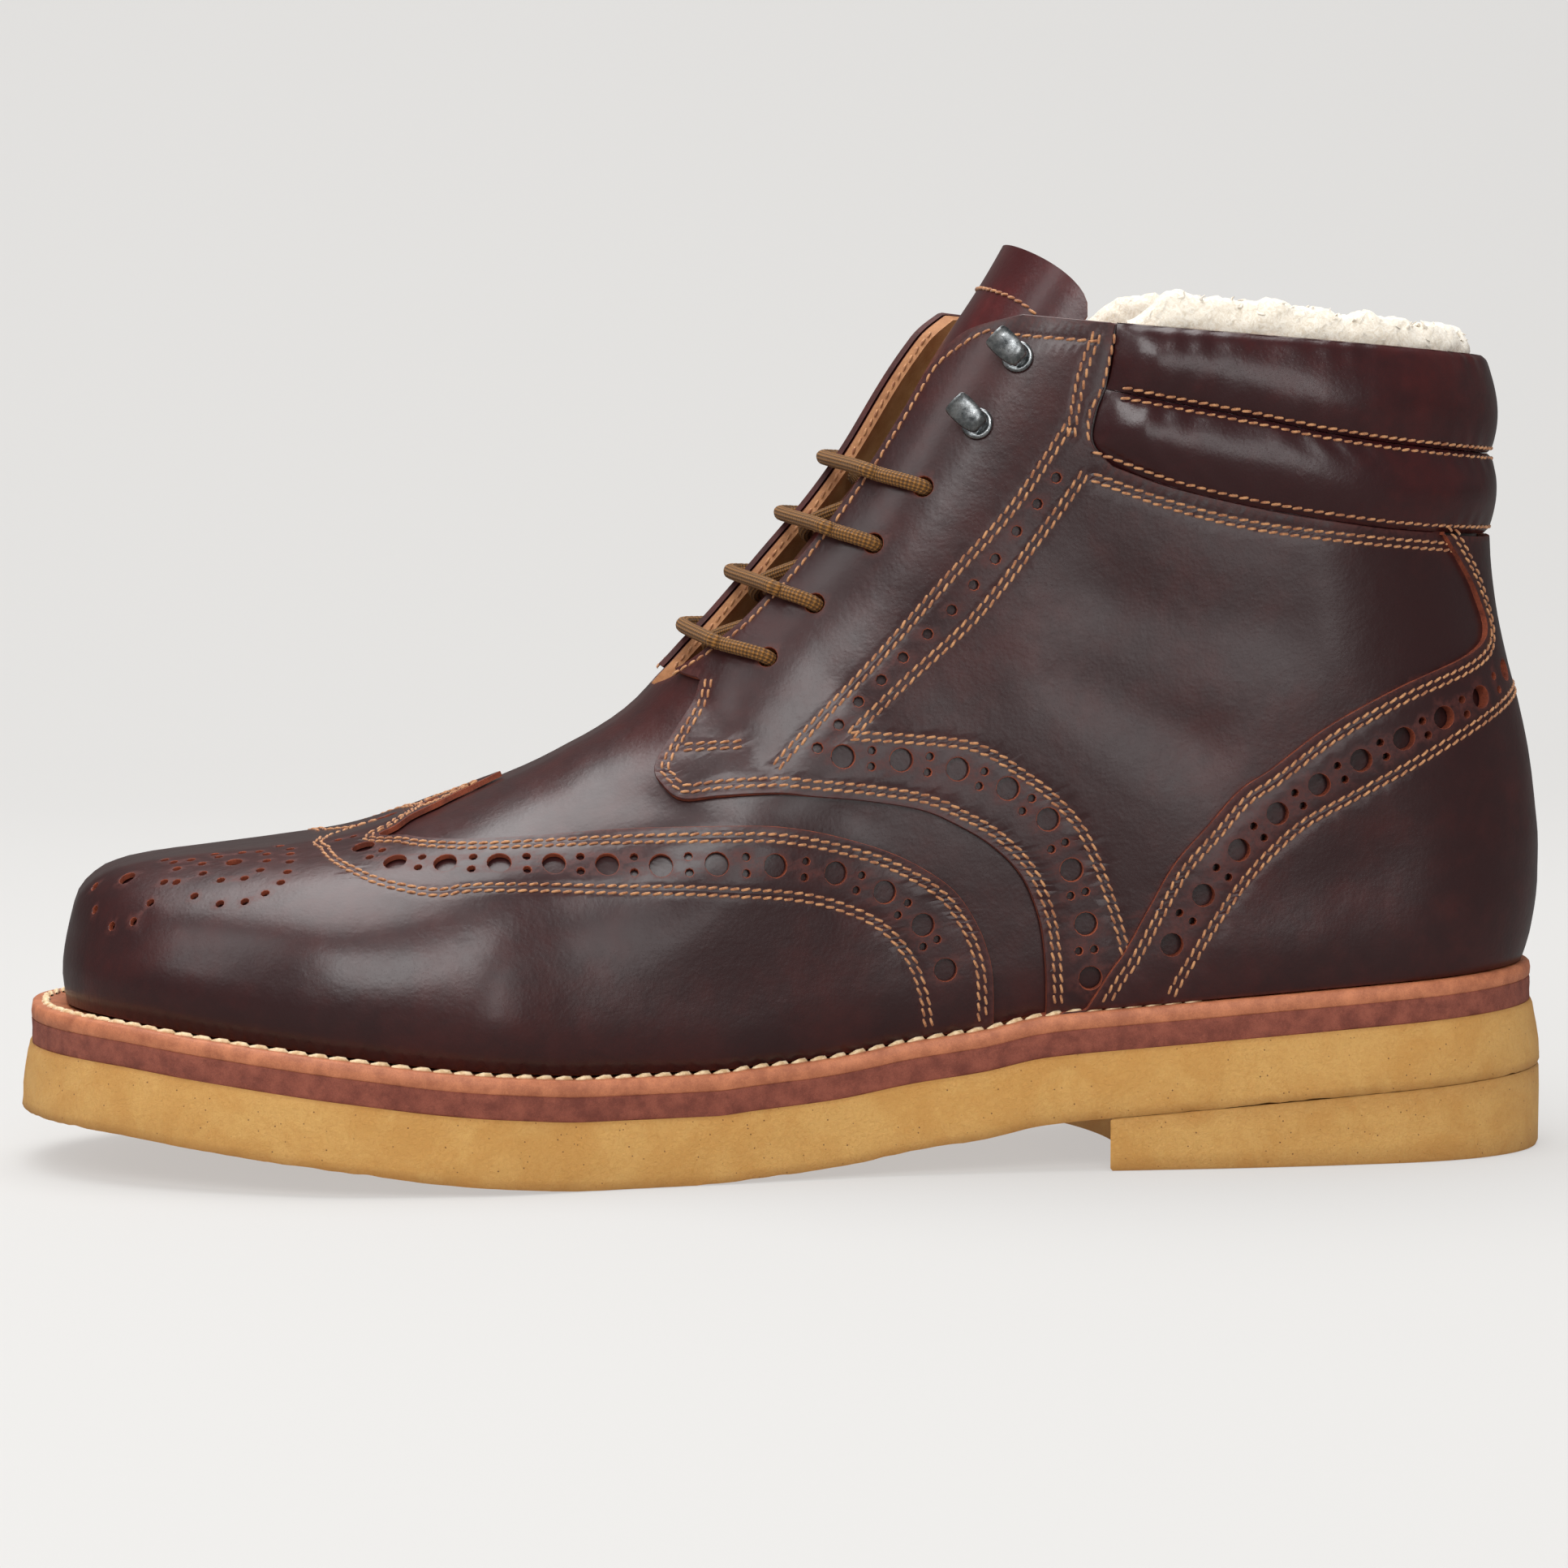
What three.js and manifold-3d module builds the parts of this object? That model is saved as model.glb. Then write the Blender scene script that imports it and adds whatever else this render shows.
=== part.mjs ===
// A left brogue ankle boot, toe toward -X, lateral side toward -Y, floor at z = 0.
// Millimetres. The upper and its overlays all follow one last surface.
import * as THREE from "three";
import { mergeVertices } from "three/addons/utils/BufferGeometryUtils.js";
import loadManifold from "manifold-3d";

const wasm = await loadManifold();
wasm.setup();

// Driving sizes
const soleLength = 308;
const ballWidth = 96;
const heelInset = 6.5;
const legHeight = 160;
const legWidth = 64;
const toeSpring = 11.2;
const heelRise = 16.7;
const crepeThickness = 12.8;
const crepeFlare = 2;
const crepeEdgeRound = 1.2;
const midsoleThickness = 4.5;
const weltThickness = 3.2;
const weltReach = 8.5;
const weltInside = 12;
const fitGap = 0.3;
const seatClearance = 0.2;
const wall = 2.4;
const overlayThickness = 1.1;
const counterThickness = 2.3;
const throatLateralGap = 18;
const throatMedialGap = 13;
const heelBreastShare = 0.306;
const breastHollow = 7;
const breastRadius = 95;
const rollBulge = 3.4;
const rollSeamThickness = 1.2;
const insoleThickness = 3;
const tongueThickness = 2.6;
const furDepth = 5;
const furRise = 4.6;
const laceDiameter = 3;
const laceHoleDiameter = 6.2;
const hookDiscDiameter = 6.6;
const hookDiscThickness = 1.1;
const hookReach = 6;
const hookPlateThickness = 0.9;
const hookPlateWidth = 5;

const leather = new THREE.MeshStandardMaterial({ color: 0x3a1a1c, roughness: 0.35, metalness: 0 });
const midsoleLeather = new THREE.MeshStandardMaterial({ color: 0x7d4432, roughness: 0.6, metalness: 0 });
const weltLeather = new THREE.MeshStandardMaterial({ color: 0xb56a3a, roughness: 0.6, metalness: 0 });
const liningLeather = new THREE.MeshStandardMaterial({ color: 0xb07a45, roughness: 0.7, metalness: 0 });
const crepe = new THREE.MeshStandardMaterial({ color: 0xcf9a42, roughness: 0.8, metalness: 0 });
const shearling = new THREE.MeshStandardMaterial({ color: 0xece2d2, roughness: 1, metalness: 0 });
const cord = new THREE.MeshStandardMaterial({ color: 0x94662a, roughness: 0.8, metalness: 0 });
const gunmetal = new THREE.MeshStandardMaterial({ color: 0x3c4144, roughness: 0.35, metalness: 1 });

// Share of the leg height that clears the whole boot
const overTopShare = 1.2;

const LATERAL = -1;
const MEDIAL = 1;
const FULL_TURN = 2 * Math.PI;

// Smooth curve through a table, monotone between its rows and straight beyond its ends
function tableCurve(rows, inColumn, outColumn, outScale = 1) {
  const input = rows.map((row) => row[inColumn]);
  const output = rows.map((row) => row[outColumn] * outScale);
  const last = rows.length - 1;
  const chord = input.slice(0, last).map((from, i) => (output[i + 1] - output[i]) / (input[i + 1] - from));
  const slope = output.map((_, i) => {
    if (i === 0) return chord[0];
    if (i === last) return chord[last - 1];
    if (chord[i - 1] * chord[i] <= 0) return 0;
    const before = input[i] - input[i - 1];
    const after = input[i + 1] - input[i];
    const weightBefore = 2 * after + before;
    const weightAfter = after + 2 * before;
    return (weightBefore + weightAfter) / (weightBefore / chord[i - 1] + weightAfter / chord[i]);
  });
  return (value) => {
    if (value <= input[0]) return output[0] + slope[0] * (value - input[0]);
    if (value >= input[last]) return output[last] + slope[last] * (value - input[last]);
    let i = 0;
    while (value > input[i + 1]) i += 1;
    const span = input[i + 1] - input[i];
    const t = (value - input[i]) / span;
    const rest = 1 - t;
    const start = output[i] * (1 + 2 * t) * rest * rest + slope[i] * span * t * rest * rest;
    const end = output[i + 1] * t * t * (3 - 2 * t) - slope[i + 1] * span * t * t * rest;
    return start + end;
  };
}

function smoothStep(value, from, to) {
  const t = Math.min(Math.max((value - from) / (to - from), 0), 1);
  return t * t * (3 - 2 * t);
}

// Superellipse rounding: 0 at the edge, 1 from the full depth on
function rounding(share, power) {
  const inside = Math.min(Math.max(share, 0), 1);
  return Math.max(0, 1 - (1 - inside) ** power) ** (1 / power);
}

// "along" is the share of the sole length from its heel end, "rise" a share of the leg height
const toX = (along) => (0.5 - along) * soleLength;
const toAlong = (x) => 0.5 - x / soleLength;

// Underside of the crepe outsole: the heel column is a share of the heel rise,
// the toe column a share of the toe spring
const undersideRows = [
  { along: 0, heel: 1, toe: 0 },
  { along: 0.286, heel: 0.65, toe: 0 },
  { along: 0.35, heel: 0.555, toe: 0 },
  { along: 0.39, heel: 0.405, toe: 0 },
  { along: 0.435, heel: 0.29, toe: 0 },
  { along: 0.487, heel: 0.125, toe: 0 },
  { along: 0.54, heel: 0.04, toe: 0 },
  { along: 0.565, heel: 0, toe: 0 },
  { along: 0.646, heel: 0, toe: 0 },
  { along: 0.69, heel: 0, toe: 0.08 },
  { along: 0.74, heel: 0, toe: 0.205 },
  { along: 0.79, heel: 0, toe: 0.385 },
  { along: 0.84, heel: 0, toe: 0.56 },
  { along: 0.89, heel: 0, toe: 0.73 },
  { along: 0.94, heel: 0, toe: 0.9 },
  { along: 1, heel: 0, toe: 1 },
];
const undersideHeel = tableCurve(undersideRows, "along", "heel", heelRise);
const undersideToe = tableCurve(undersideRows, "along", "toe", toeSpring);
const underside = (x) => Math.max(undersideHeel(toAlong(x)), 0) + Math.max(undersideToe(toAlong(x)), 0);
const crepeTop = (x) => underside(x) + crepeThickness;
const midsoleTop = (x) => crepeTop(x) + fitGap + midsoleThickness;
const feather = (x) => midsoleTop(x) + fitGap + weltThickness + fitGap;

// Half widths of the foot at the feather line, as shares of half the ball width,
// before the toe and heel are rounded off
const planRows = [
  { along: 0, lateral: 0.6, medial: 0.6 },
  { along: 0.1, lateral: 0.61, medial: 0.61 },
  { along: 0.18, lateral: 0.66, medial: 0.65 },
  { along: 0.25, lateral: 0.685, medial: 0.65 },
  { along: 0.33, lateral: 0.69, medial: 0.6 },
  { along: 0.45, lateral: 0.72, medial: 0.565 },
  { along: 0.55, lateral: 0.83, medial: 0.65 },
  { along: 0.65, lateral: 0.96, medial: 0.82 },
  { along: 0.72, lateral: 1.06, medial: 0.94 },
  { along: 0.8, lateral: 1.05, medial: 0.97 },
  { along: 0.87, lateral: 0.99, medial: 0.97 },
  { along: 0.93, lateral: 0.96, medial: 0.96 },
  { along: 1, lateral: 0.94, medial: 0.94 },
];
const lateralPlan = tableCurve(planRows, "along", "lateral", ballWidth / 2);
const medialPlan = tableCurve(planRows, "along", "medial", ballWidth / 2);

// Centre line swinging to the medial side at the toe, as a share of the ball width
const swingRows = [
  { along: 0, swing: 0 },
  { along: 0.5, swing: 0 },
  { along: 0.65, swing: 0.01 },
  { along: 0.8, swing: 0.026 },
  { along: 0.9, swing: 0.042 },
  { along: 1, swing: 0.052 },
];
const swingAt = tableCurve(swingRows, "along", "swing", ballWidth);

// Superellipse power of the section across the top
const crownRows = [
  { along: 0, power: 2.2 },
  { along: 0.5, power: 2.1 },
  { along: 0.6, power: 2.15 },
  { along: 0.8, power: 2.4 },
  { along: 1, power: 2.6 },
];
const crownPower = tableCurve(crownRows, "along", "power");

// Centre line of the front, from the toe over the vamp and up the throat.
// climb: share of the way from the feather line to the collar
const noseClimbShare = 0.0576;
const frontRows = [
  { climb: 0, along: 0.9659, rise: 0.206 },
  { climb: 0.0255, along: 0.9685, rise: 0.247 },
  { climb: noseClimbShare, along: 0.9649, rise: 0.294 },
  { climb: 0.0859, along: 0.958, rise: 0.336 },
  { climb: 0.1167, along: 0.94, rise: 0.363 },
  { climb: 0.1433, along: 0.9175, rise: 0.374 },
  { climb: 0.1973, along: 0.8744, rise: 0.385 },
  { climb: 0.2508, along: 0.8331, rise: 0.394 },
  { climb: 0.3044, along: 0.7922, rise: 0.405 },
  { climb: 0.3614, along: 0.75, rise: 0.429 },
  { climb: 0.4192, along: 0.7084, rise: 0.46 },
  { climb: 0.4787, along: 0.6662, rise: 0.494 },
  { climb: 0.5099, along: 0.6451, rise: 0.516 },
  { climb: 0.5416, along: 0.624, rise: 0.539 },
  { climb: 0.5749, along: 0.6029, rise: 0.5675 },
  { climb: 0.612, along: 0.5845, rise: 0.604 },
  { climb: 0.6732, along: 0.5585, rise: 0.669 },
  { climb: 0.769, along: 0.512, rise: 0.775 },
  { climb: 0.8289, along: 0.4825, rise: 0.844 },
  { climb: 0.8888, along: 0.4555, rise: 0.916 },
  { climb: 0.9432, along: 0.4335, rise: 0.984 },
  { climb: 1, along: 0.4105, rise: 1.056 },
];
const frontAlong = tableCurve(frontRows, "climb", "along");
const noseRise = tableCurve(frontRows.slice(0, 3), "climb", "rise", legHeight);
const ridgeRows = frontRows.slice(2).reverse();
const ridgeRise = tableCurve(ridgeRows, "along", "rise", legHeight);
const frontX = (climb) => toX(frontAlong(climb));
const ridgeTop = (x) => ridgeRise(toAlong(x));
const frontZ = (climb) => (climb < noseClimbShare ? noseRise(climb) : ridgeTop(frontX(climb)));

// Centre line of the back: set-back is a share of the sole length ahead of the heel inset
const backRows = [
  { rise: 0.236, setBack: 0 },
  { rise: 0.281, setBack: -0.0068 },
  { rise: 0.3375, setBack: -0.01 },
  { rise: 0.381, setBack: -0.01 },
  { rise: 0.431, setBack: -0.0078 },
  { rise: 0.494, setBack: -0.0039 },
  { rise: 0.556, setBack: 0.0026 },
  { rise: 0.619, setBack: 0.0114 },
  { rise: 0.6875, setBack: 0.0192 },
  { rise: 0.75, setBack: 0.0234 },
  { rise: 0.8125, setBack: 0.025 },
  { rise: 1, setBack: 0.026 },
];
const setBackAt = tableCurve(backRows, "rise", "setBack", soleLength);
const backX = (z) => soleLength / 2 - heelInset - setBackAt(z / legHeight);
const seatZ = feather(soleLength / 2 - heelInset);
const backZ = (climb) => seatZ + (legHeight - seatZ) * climb;

// Depths over which the last rounds off, and the heights between which foot turns into leg
const crownDepth = 0.3875 * legHeight;
const leastCrown = 0.05 * legHeight;
const toeDepth = 0.2 * soleLength;
const heelDepth = 0.107 * soleLength;
const ankleDepth = 0.136 * soleLength;
const legStart = 0.344 * legHeight;
const legEnd = 0.719 * legHeight;
const ankleStart = 0.375 * legHeight;
const ankleEnd = 0.75 * legHeight;
const tuckHeight = 0.075 * legHeight;
const tuckShare = 0.05;
const toePower = 2.2;
const heelPower = 2.1;
const blendPower = 4;

function halfWidth(x, z, climb, side) {
  const footHalf = side === LATERAL ? lateralPlan(toAlong(x)) : medialPlan(toAlong(x));
  const legShare = smoothStep(z, legStart, legEnd);
  const half = footHalf * (1 - legShare) + (legWidth / 2) * legShare;
  const sectionHeight = Math.max(ridgeTop(x) - feather(x), leastCrown);
  const depth = sectionHeight / (1 + (sectionHeight / crownDepth) ** blendPower) ** (1 / blendPower);
  const acrossTop = rounding((ridgeTop(x) - z) / depth, crownPower(toAlong(x)));
  const atToe = rounding((x - frontX(Math.min(climb, noseClimbShare))) / toeDepth, toePower);
  const backDepth = heelDepth + (ankleDepth - heelDepth) * smoothStep(z, ankleStart, ankleEnd);
  const atHeel = rounding((backX(z) - x) / backDepth, heelPower);
  const low = Math.max(0, 1 - (z - feather(x)) / tuckHeight);
  return half * acrossTop * atToe * atHeel * (1 - tuckShare * low * low);
}

function sidePoint(share, climb) {
  const startX = backX(seatZ);
  const endX = frontX(0);
  const lowX = startX + (endX - startX) * share;
  const lowChord = seatZ + (frontZ(0) - seatZ) * share;
  const dip = (feather(lowX) - lowChord) * Math.max(0, 1 - climb) ** 2;
  const back = backX(backZ(climb));
  const x = back + (frontX(climb) - back) * share;
  const z = backZ(climb) + (frontZ(climb) - backZ(climb)) * share + dip;
  return { x, z };
}

// Last surface. turn runs from the back (0) round the lateral side to the front (half a turn)
// and on round the medial side
function barePoint(turn, climb) {
  const wrapped = ((turn % FULL_TURN) + FULL_TURN) % FULL_TURN;
  const side = wrapped <= Math.PI ? LATERAL : MEDIAL;
  const { x, z } = sidePoint((1 - Math.cos(wrapped)) / 2, climb);
  return new THREE.Vector3(x, swingAt(toAlong(x)) + side * halfWidth(x, z, climb, side), z);
}

// Steps over which the surface's slope is measured
const aroundStepShare = 0.02;
const upwardStepShare = 0.004;

function lastNormal(turn, climb) {
  const around = barePoint(turn + aroundStepShare, climb).sub(barePoint(turn - aroundStepShare, climb));
  const lower = Math.max(climb - upwardStepShare, 0);
  const upward = barePoint(turn, climb + upwardStepShare).sub(barePoint(turn, lower));
  const normal = upward.cross(around);
  if (climb <= 0) normal.z = 0;
  return normal.normalize();
}

function lastPoint(turn, climb, offset = 0) {
  return barePoint(turn, climb).addScaledVector(lastNormal(turn, climb), offset);
}

const searchCount = 40;

// Turn at which the surface, on its way to the front, has narrowed to a half width
function turnAtHalfWidth(climb, wanted) {
  let low = Math.PI / 2;
  let high = Math.PI;
  for (let i = 0; i < searchCount; i += 1) {
    const middle = (low + high) / 2;
    const { x, z } = sidePoint((1 - Math.cos(middle)) / 2, climb);
    if (halfWidth(x, z, climb, LATERAL) > wanted) low = middle;
    else high = middle;
  }
  return (low + high) / 2;
}

// Turn and climb of a point given in the side view
function chartOf(x, z) {
  let low = 0;
  let high = overTopShare;
  let share = 0;
  for (let i = 0; i < searchCount; i += 1) {
    const climb = (low + high) / 2;
    const back = backX(backZ(climb));
    share = (back - x) / (back - frontX(climb));
    if (sidePoint(share, climb).z < z) low = climb;
    else high = climb;
  }
  return { turn: Math.acos(1 - 2 * Math.min(Math.max(share, 0), 1)), climb: (low + high) / 2 };
}

// Throat: distance of each facing's edge from the centre line, as a share of its gap
const throatClimbShare = 0.6;
const throatRows = [
  { climb: throatClimbShare, gap: 0 },
  { climb: 0.607, gap: 0.4 },
  { climb: 0.63, gap: 0.8 },
  { climb: 0.68, gap: 0.98 },
  { climb: 0.8, gap: 1 },
  { climb: 0.93, gap: 1 },
  { climb: 0.975, gap: 1.12 },
  { climb: 1, gap: 1.5 },
];
const throatShare = tableCurve(throatRows, "climb", "gap");

function edgeTurn(climb, side) {
  if (climb <= throatClimbShare) return Math.PI;
  const gap = side === LATERAL ? throatLateralGap : throatMedialGap;
  return turnAtHalfWidth(climb, throatShare(climb) * gap);
}

// Closed solid between two offsets of an open grid of surface points.
// cells: index triples of the outer sheet, outer and inner: matching point lists
function sheetSolid(outer, inner, cells) {
  const positions = [];
  for (const point of [...outer, ...inner]) positions.push(point.x, point.y, point.z);
  const count = outer.length;
  const indices = [];
  const edges = new Map();
  for (const [a, b, c] of cells) {
    indices.push(a, b, c, a + count, c + count, b + count);
    edges.set(`${a}_${b}`, [a, b]);
    edges.set(`${b}_${c}`, [b, c]);
    edges.set(`${c}_${a}`, [c, a]);
  }
  for (const [from, to] of edges.values()) {
    if (edges.has(`${to}_${from}`)) continue;
    indices.push(to, from, from + count, to, from + count, to + count);
  }
  const geometry = new THREE.BufferGeometry();
  geometry.setAttribute("position", new THREE.Float32BufferAttribute(positions, 3));
  geometry.setIndex(indices);
  return geometry;
}

// Triangles of a sheet that faces outward, from a grid of rows and columns
function gridCells(rowCount, columnCount, indexOf) {
  const cells = [];
  for (let row = 0; row < rowCount - 1; row += 1) {
    for (let column = 0; column < columnCount - 1; column += 1) {
      const a = indexOf(row, column, false);
      const b = indexOf(row, column + 1, true);
      const c = indexOf(row + 1, column + 1, true);
      const d = indexOf(row + 1, column, false);
      cells.push([a, c, b], [a, d, c]);
    }
  }
  return cells;
}

// Climb of each ring of the upper; dense at the throat and the collar
const upperClimbs = [
  0, 0.05, 0.1, 0.16, 0.23, 0.31, 0.4, 0.5, 0.56, 0.6, 0.607, 0.63, 0.68, 0.76, 0.84, 0.92, 0.975, 1,
];
const columnsPerSide = 15;

// Shell round the last with an open throat; offsets are functions of a surface point
function throatedShell(climbs, outerOffset, innerOffset) {
  const outer = [];
  const inner = [];
  const index = new Map();
  const columnCount = 2 * columnsPerSide + 1;
  const addPoint = (key, turn, climb) => {
    if (index.has(key)) return;
    index.set(key, outer.length);
    const at = barePoint(turn, climb);
    const outside = lastPoint(turn, climb, outerOffset(at));
    const inside = lastPoint(turn, climb, innerOffset(at));
    if (climb === 0) outside.z = feather(outside.x) + seatClearance;
    if (climb === 0) inside.z = feather(inside.x) + seatClearance;
    outer.push(outside);
    inner.push(inside);
  };
  const keyOf = (row, column, comingIn) => {
    if (column === 2 * columnsPerSide) return `${row}_0`;
    const split = column === columnsPerSide && climbs[row] > throatClimbShare;
    return split && !comingIn ? `${row}_medial` : `${row}_${column}`;
  };
  climbs.forEach((climb, row) => {
    for (let column = 0; column < columnCount; column += 1) {
      const lateral = column <= columnsPerSide;
      const step = lateral ? column : 2 * columnsPerSide - column;
      const turn = (edgeTurn(climb, lateral ? LATERAL : MEDIAL) * step) / columnsPerSide;
      addPoint(keyOf(row, column, true), lateral ? turn : FULL_TURN - turn, climb);
    }
    addPoint(keyOf(row, columnsPerSide, false), FULL_TURN - edgeTurn(climb, MEDIAL), climb);
  });
  const indexOf = (row, column, comingIn) => index.get(keyOf(row, column, comingIn));
  return sheetSolid(outer, inner, gridCells(climbs.length, columnCount, indexOf));
}

// Open patch of the last surface: rows of [turn, climb, outer offset, inner offset]
function patchSolid(rows) {
  const outer = [];
  const inner = [];
  for (const row of rows) {
    for (const { turn, climb, out, into } of row) {
      outer.push(lastPoint(turn, climb, out));
      inner.push(lastPoint(turn, climb, into));
    }
  }
  const columnCount = rows[0].length;
  const indexOf = (row, column) => row * columnCount + column;
  return sheetSolid(outer, inner, gridCells(rows.length, columnCount, indexOf));
}

// Manifold conversions
function toSolid(geometry) {
  const bare = geometry.clone();
  bare.deleteAttribute("normal");
  bare.deleteAttribute("uv");
  const merged = mergeVertices(bare, 1e-5);
  const mesh = new wasm.Mesh({
    numProp: 3,
    vertProperties: new Float32Array(merged.attributes.position.array),
    triVerts: new Uint32Array(merged.index.array),
  });
  return new wasm.Manifold(mesh);
}

function toGeometry(solid) {
  const mesh = solid.getMesh();
  const geometry = new THREE.BufferGeometry();
  geometry.setAttribute("position", new THREE.Float32BufferAttribute(mesh.vertProperties, 3));
  geometry.setIndex([...mesh.triVerts]);
  geometry.computeVertexNormals();
  return geometry;
}

const sideVector = ({ along, rise }) => new THREE.Vector2(toX(along), rise * legHeight);

// Prism across the boot from an outline in the side view
function sidePrism(outline, fromY, toY) {
  const shape = new THREE.Shape(outline.map(sideVector));
  const prism = new THREE.ExtrudeGeometry(shape, { depth: toY - fromY, bevelEnabled: false });
  prism.rotateX(Math.PI / 2);
  prism.translate(0, toY, 0);
  return toSolid(prism);
}

// Prism up from an outline in plan
function planPrism(outline, fromZ, toZ) {
  const shape = new THREE.Shape(outline.map(({ x, y }) => new THREE.Vector2(x, y)));
  const prism = new THREE.ExtrudeGeometry(shape, { depth: toZ - fromZ, bevelEnabled: false });
  prism.translate(0, 0, fromZ);
  return toSolid(prism);
}

const corner = (along, rise) => ({ along, rise });

// Points of a smooth seam, moved sideways by a clearance in millimetres
function seamPoints(seam, clearance, steps) {
  const curve = new THREE.SplineCurve(seam.map(sideVector));
  const points = [];
  for (let i = 0; i <= steps; i += 1) {
    const point = curve.getPoint(i / steps);
    const tangent = curve.getTangent(i / steps);
    point.x -= tangent.y * clearance;
    point.y += tangent.x * clearance;
    points.push({ along: toAlong(point.x), rise: point.y / legHeight });
  }
  return points;
}

const farY = ballWidth;
const behindShare = -0.06;
const aheadShare = 1.06;

// Seams in the side view
const wingSeam = [
  { along: 0.382, rise: 0.1 }, { along: 0.383, rise: 0.228 }, { along: 0.387, rise: 0.273 },
  { along: 0.396, rise: 0.313 }, { along: 0.412, rise: 0.353 }, { along: 0.443, rise: 0.389 },
  { along: 0.478, rise: 0.412 }, { along: 0.512, rise: 0.426 }, { along: 0.547, rise: 0.429 },
  { along: 0.632, rise: 0.421 }, { along: 0.697, rise: 0.409 }, { along: 0.735, rise: 0.406 },
  { along: 0.753, rise: 0.408 }, { along: 0.759, rise: 0.414 },
];
const quarterSeam = [
  { along: 0.348, rise: 0.1 }, { along: 0.348, rise: 0.208 }, { along: 0.35, rise: 0.272 },
  { along: 0.354, rise: 0.316 }, { along: 0.365, rise: 0.364 }, { along: 0.384, rise: 0.401 },
  { along: 0.407, rise: 0.4275 }, { along: 0.43, rise: 0.446 }, { along: 0.465, rise: 0.4575 },
  { along: 0.5, rise: 0.464 }, { along: 0.523, rise: 0.468 }, { along: 0.557, rise: 0.464 },
  { along: 0.581, rise: 0.459 }, { along: 0.592, rise: 0.474 }, { along: 0.595, rise: 0.497 },
  { along: 0.573, rise: 0.561 }, { along: 0.563, rise: 0.6 },
];
const counterSeam = [
  { along: 0.09, rise: 0.785 }, { along: 0.071, rise: 0.731 }, { along: 0.062, rise: 0.699 },
  { along: 0.055, rise: 0.656 }, { along: 0.068, rise: 0.628 }, { along: 0.118, rise: 0.59 },
  { along: 0.165, rise: 0.543 }, { along: 0.202, rise: 0.491 }, { along: 0.223, rise: 0.465 },
  { along: 0.2435, rise: 0.422 }, { along: 0.265, rise: 0.376 }, { along: 0.281, rise: 0.323 },
  { along: 0.297, rise: 0.268 }, { along: 0.31, rise: 0.234 }, { along: 0.322, rise: 0.1 },
];
const strapSeam = [
  { along: 0.301, rise: 1.08 }, { along: 0.305, rise: 1.04 }, { along: 0.31, rise: 0.975 },
  { along: 0.318, rise: 0.931 }, { along: 0.32, rise: 0.894 }, { along: 0.306, rise: 0.865 },
];
const collarSeam = [
  { along: 0.306, rise: 0.865 }, { along: 0.268, rise: 0.839 }, { along: 0.211, rise: 0.813 },
  { along: 0.165, rise: 0.7975 }, { along: 0.116, rise: 0.785 }, { along: 0.036, rise: 0.775 },
  { along: -0.03, rise: 0.772 },
];
const rollSeam = [
  { along: 0.34, rise: 0.972 }, { along: 0.316, rise: 0.961 }, { along: 0.268, rise: 0.9425 },
  { along: 0.211, rise: 0.922 }, { along: 0.165, rise: 0.904 }, { along: 0.116, rise: 0.89 },
  { along: 0.036, rise: 0.876 }, { along: -0.03, rise: 0.872 },
];

// Plan outline of the wing's peak: half width as a share of the ball width
const peakRows = [
  { along: 0.77, half: 0.19 },
  { along: 0.757, half: 0.165 },
  { along: 0.744, half: 0.115 },
  { along: 0.724, half: 0.073 },
  { along: 0.7, half: 0.031 },
  { along: 0.687, half: 0.004 },
];

const laceHoleRows = [
  { along: 0.5227, rise: 0.628 },
  { along: 0.4922, rise: 0.694 },
  { along: 0.4549, rise: 0.768 },
  { along: 0.424, rise: 0.838 },
];
const hookRows = [
  { along: 0.39, rise: 0.915 },
  { along: 0.364, rise: 0.996 },
];
const holeLength = 20;
const holeSideCount = 10;

// The medial facing sits a little higher, so its lace holes do too
const medialShift = { along: -0.012, rise: 0.026 };

function chartOfHole({ along, rise }, side) {
  const shift = side === MEDIAL ? medialShift : { along: 0, rise: 0 };
  return chartOf(toX(along + shift.along), (rise + shift.rise) * legHeight);
}

function surfaceFrame(row, side, chart) {
  const { turn, climb } = chart(row, side);
  const sideTurn = side === LATERAL ? turn : FULL_TURN - turn;
  return { point: barePoint(sideTurn, climb), normal: lastNormal(sideTurn, climb) };
}

function laceHole(row, side) {
  const { point, normal } = surfaceFrame(row, side, chartOfHole);
  const radius = laceHoleDiameter / 2;
  const drill = new THREE.CylinderGeometry(radius, radius, holeLength, holeSideCount);
  drill.applyQuaternion(new THREE.Quaternion().setFromUnitVectors(new THREE.Vector3(0, 1, 0), normal));
  drill.translate(point.x, point.y, point.z);
  return toSolid(drill);
}

const laceHoles = [LATERAL, MEDIAL].flatMap((side) => laceHoleRows.map((row) => laceHole(row, side)));
const drilled = (solid) => laceHoles.reduce((rest, hole) => rest.subtract(hole), solid);

// The upper: one hollow shell, open at the collar, the throat and underneath
const none = () => 0;
const upperShell = drilled(toSolid(throatedShell(upperClimbs, none, () => -wall)));

// Overlays: the toe's wing cap, the two quarters and the counter with its back strap
const overlayIn = () => fitGap;
const overlayLayer = toSolid(throatedShell(upperClimbs, () => fitGap + overlayThickness, overlayIn));
const counterLayer = toSolid(throatedShell(upperClimbs, () => fitGap + counterThickness, overlayIn));

const peakLow = 0.36 * legHeight;
const peakHigh = 0.6 * legHeight;

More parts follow.
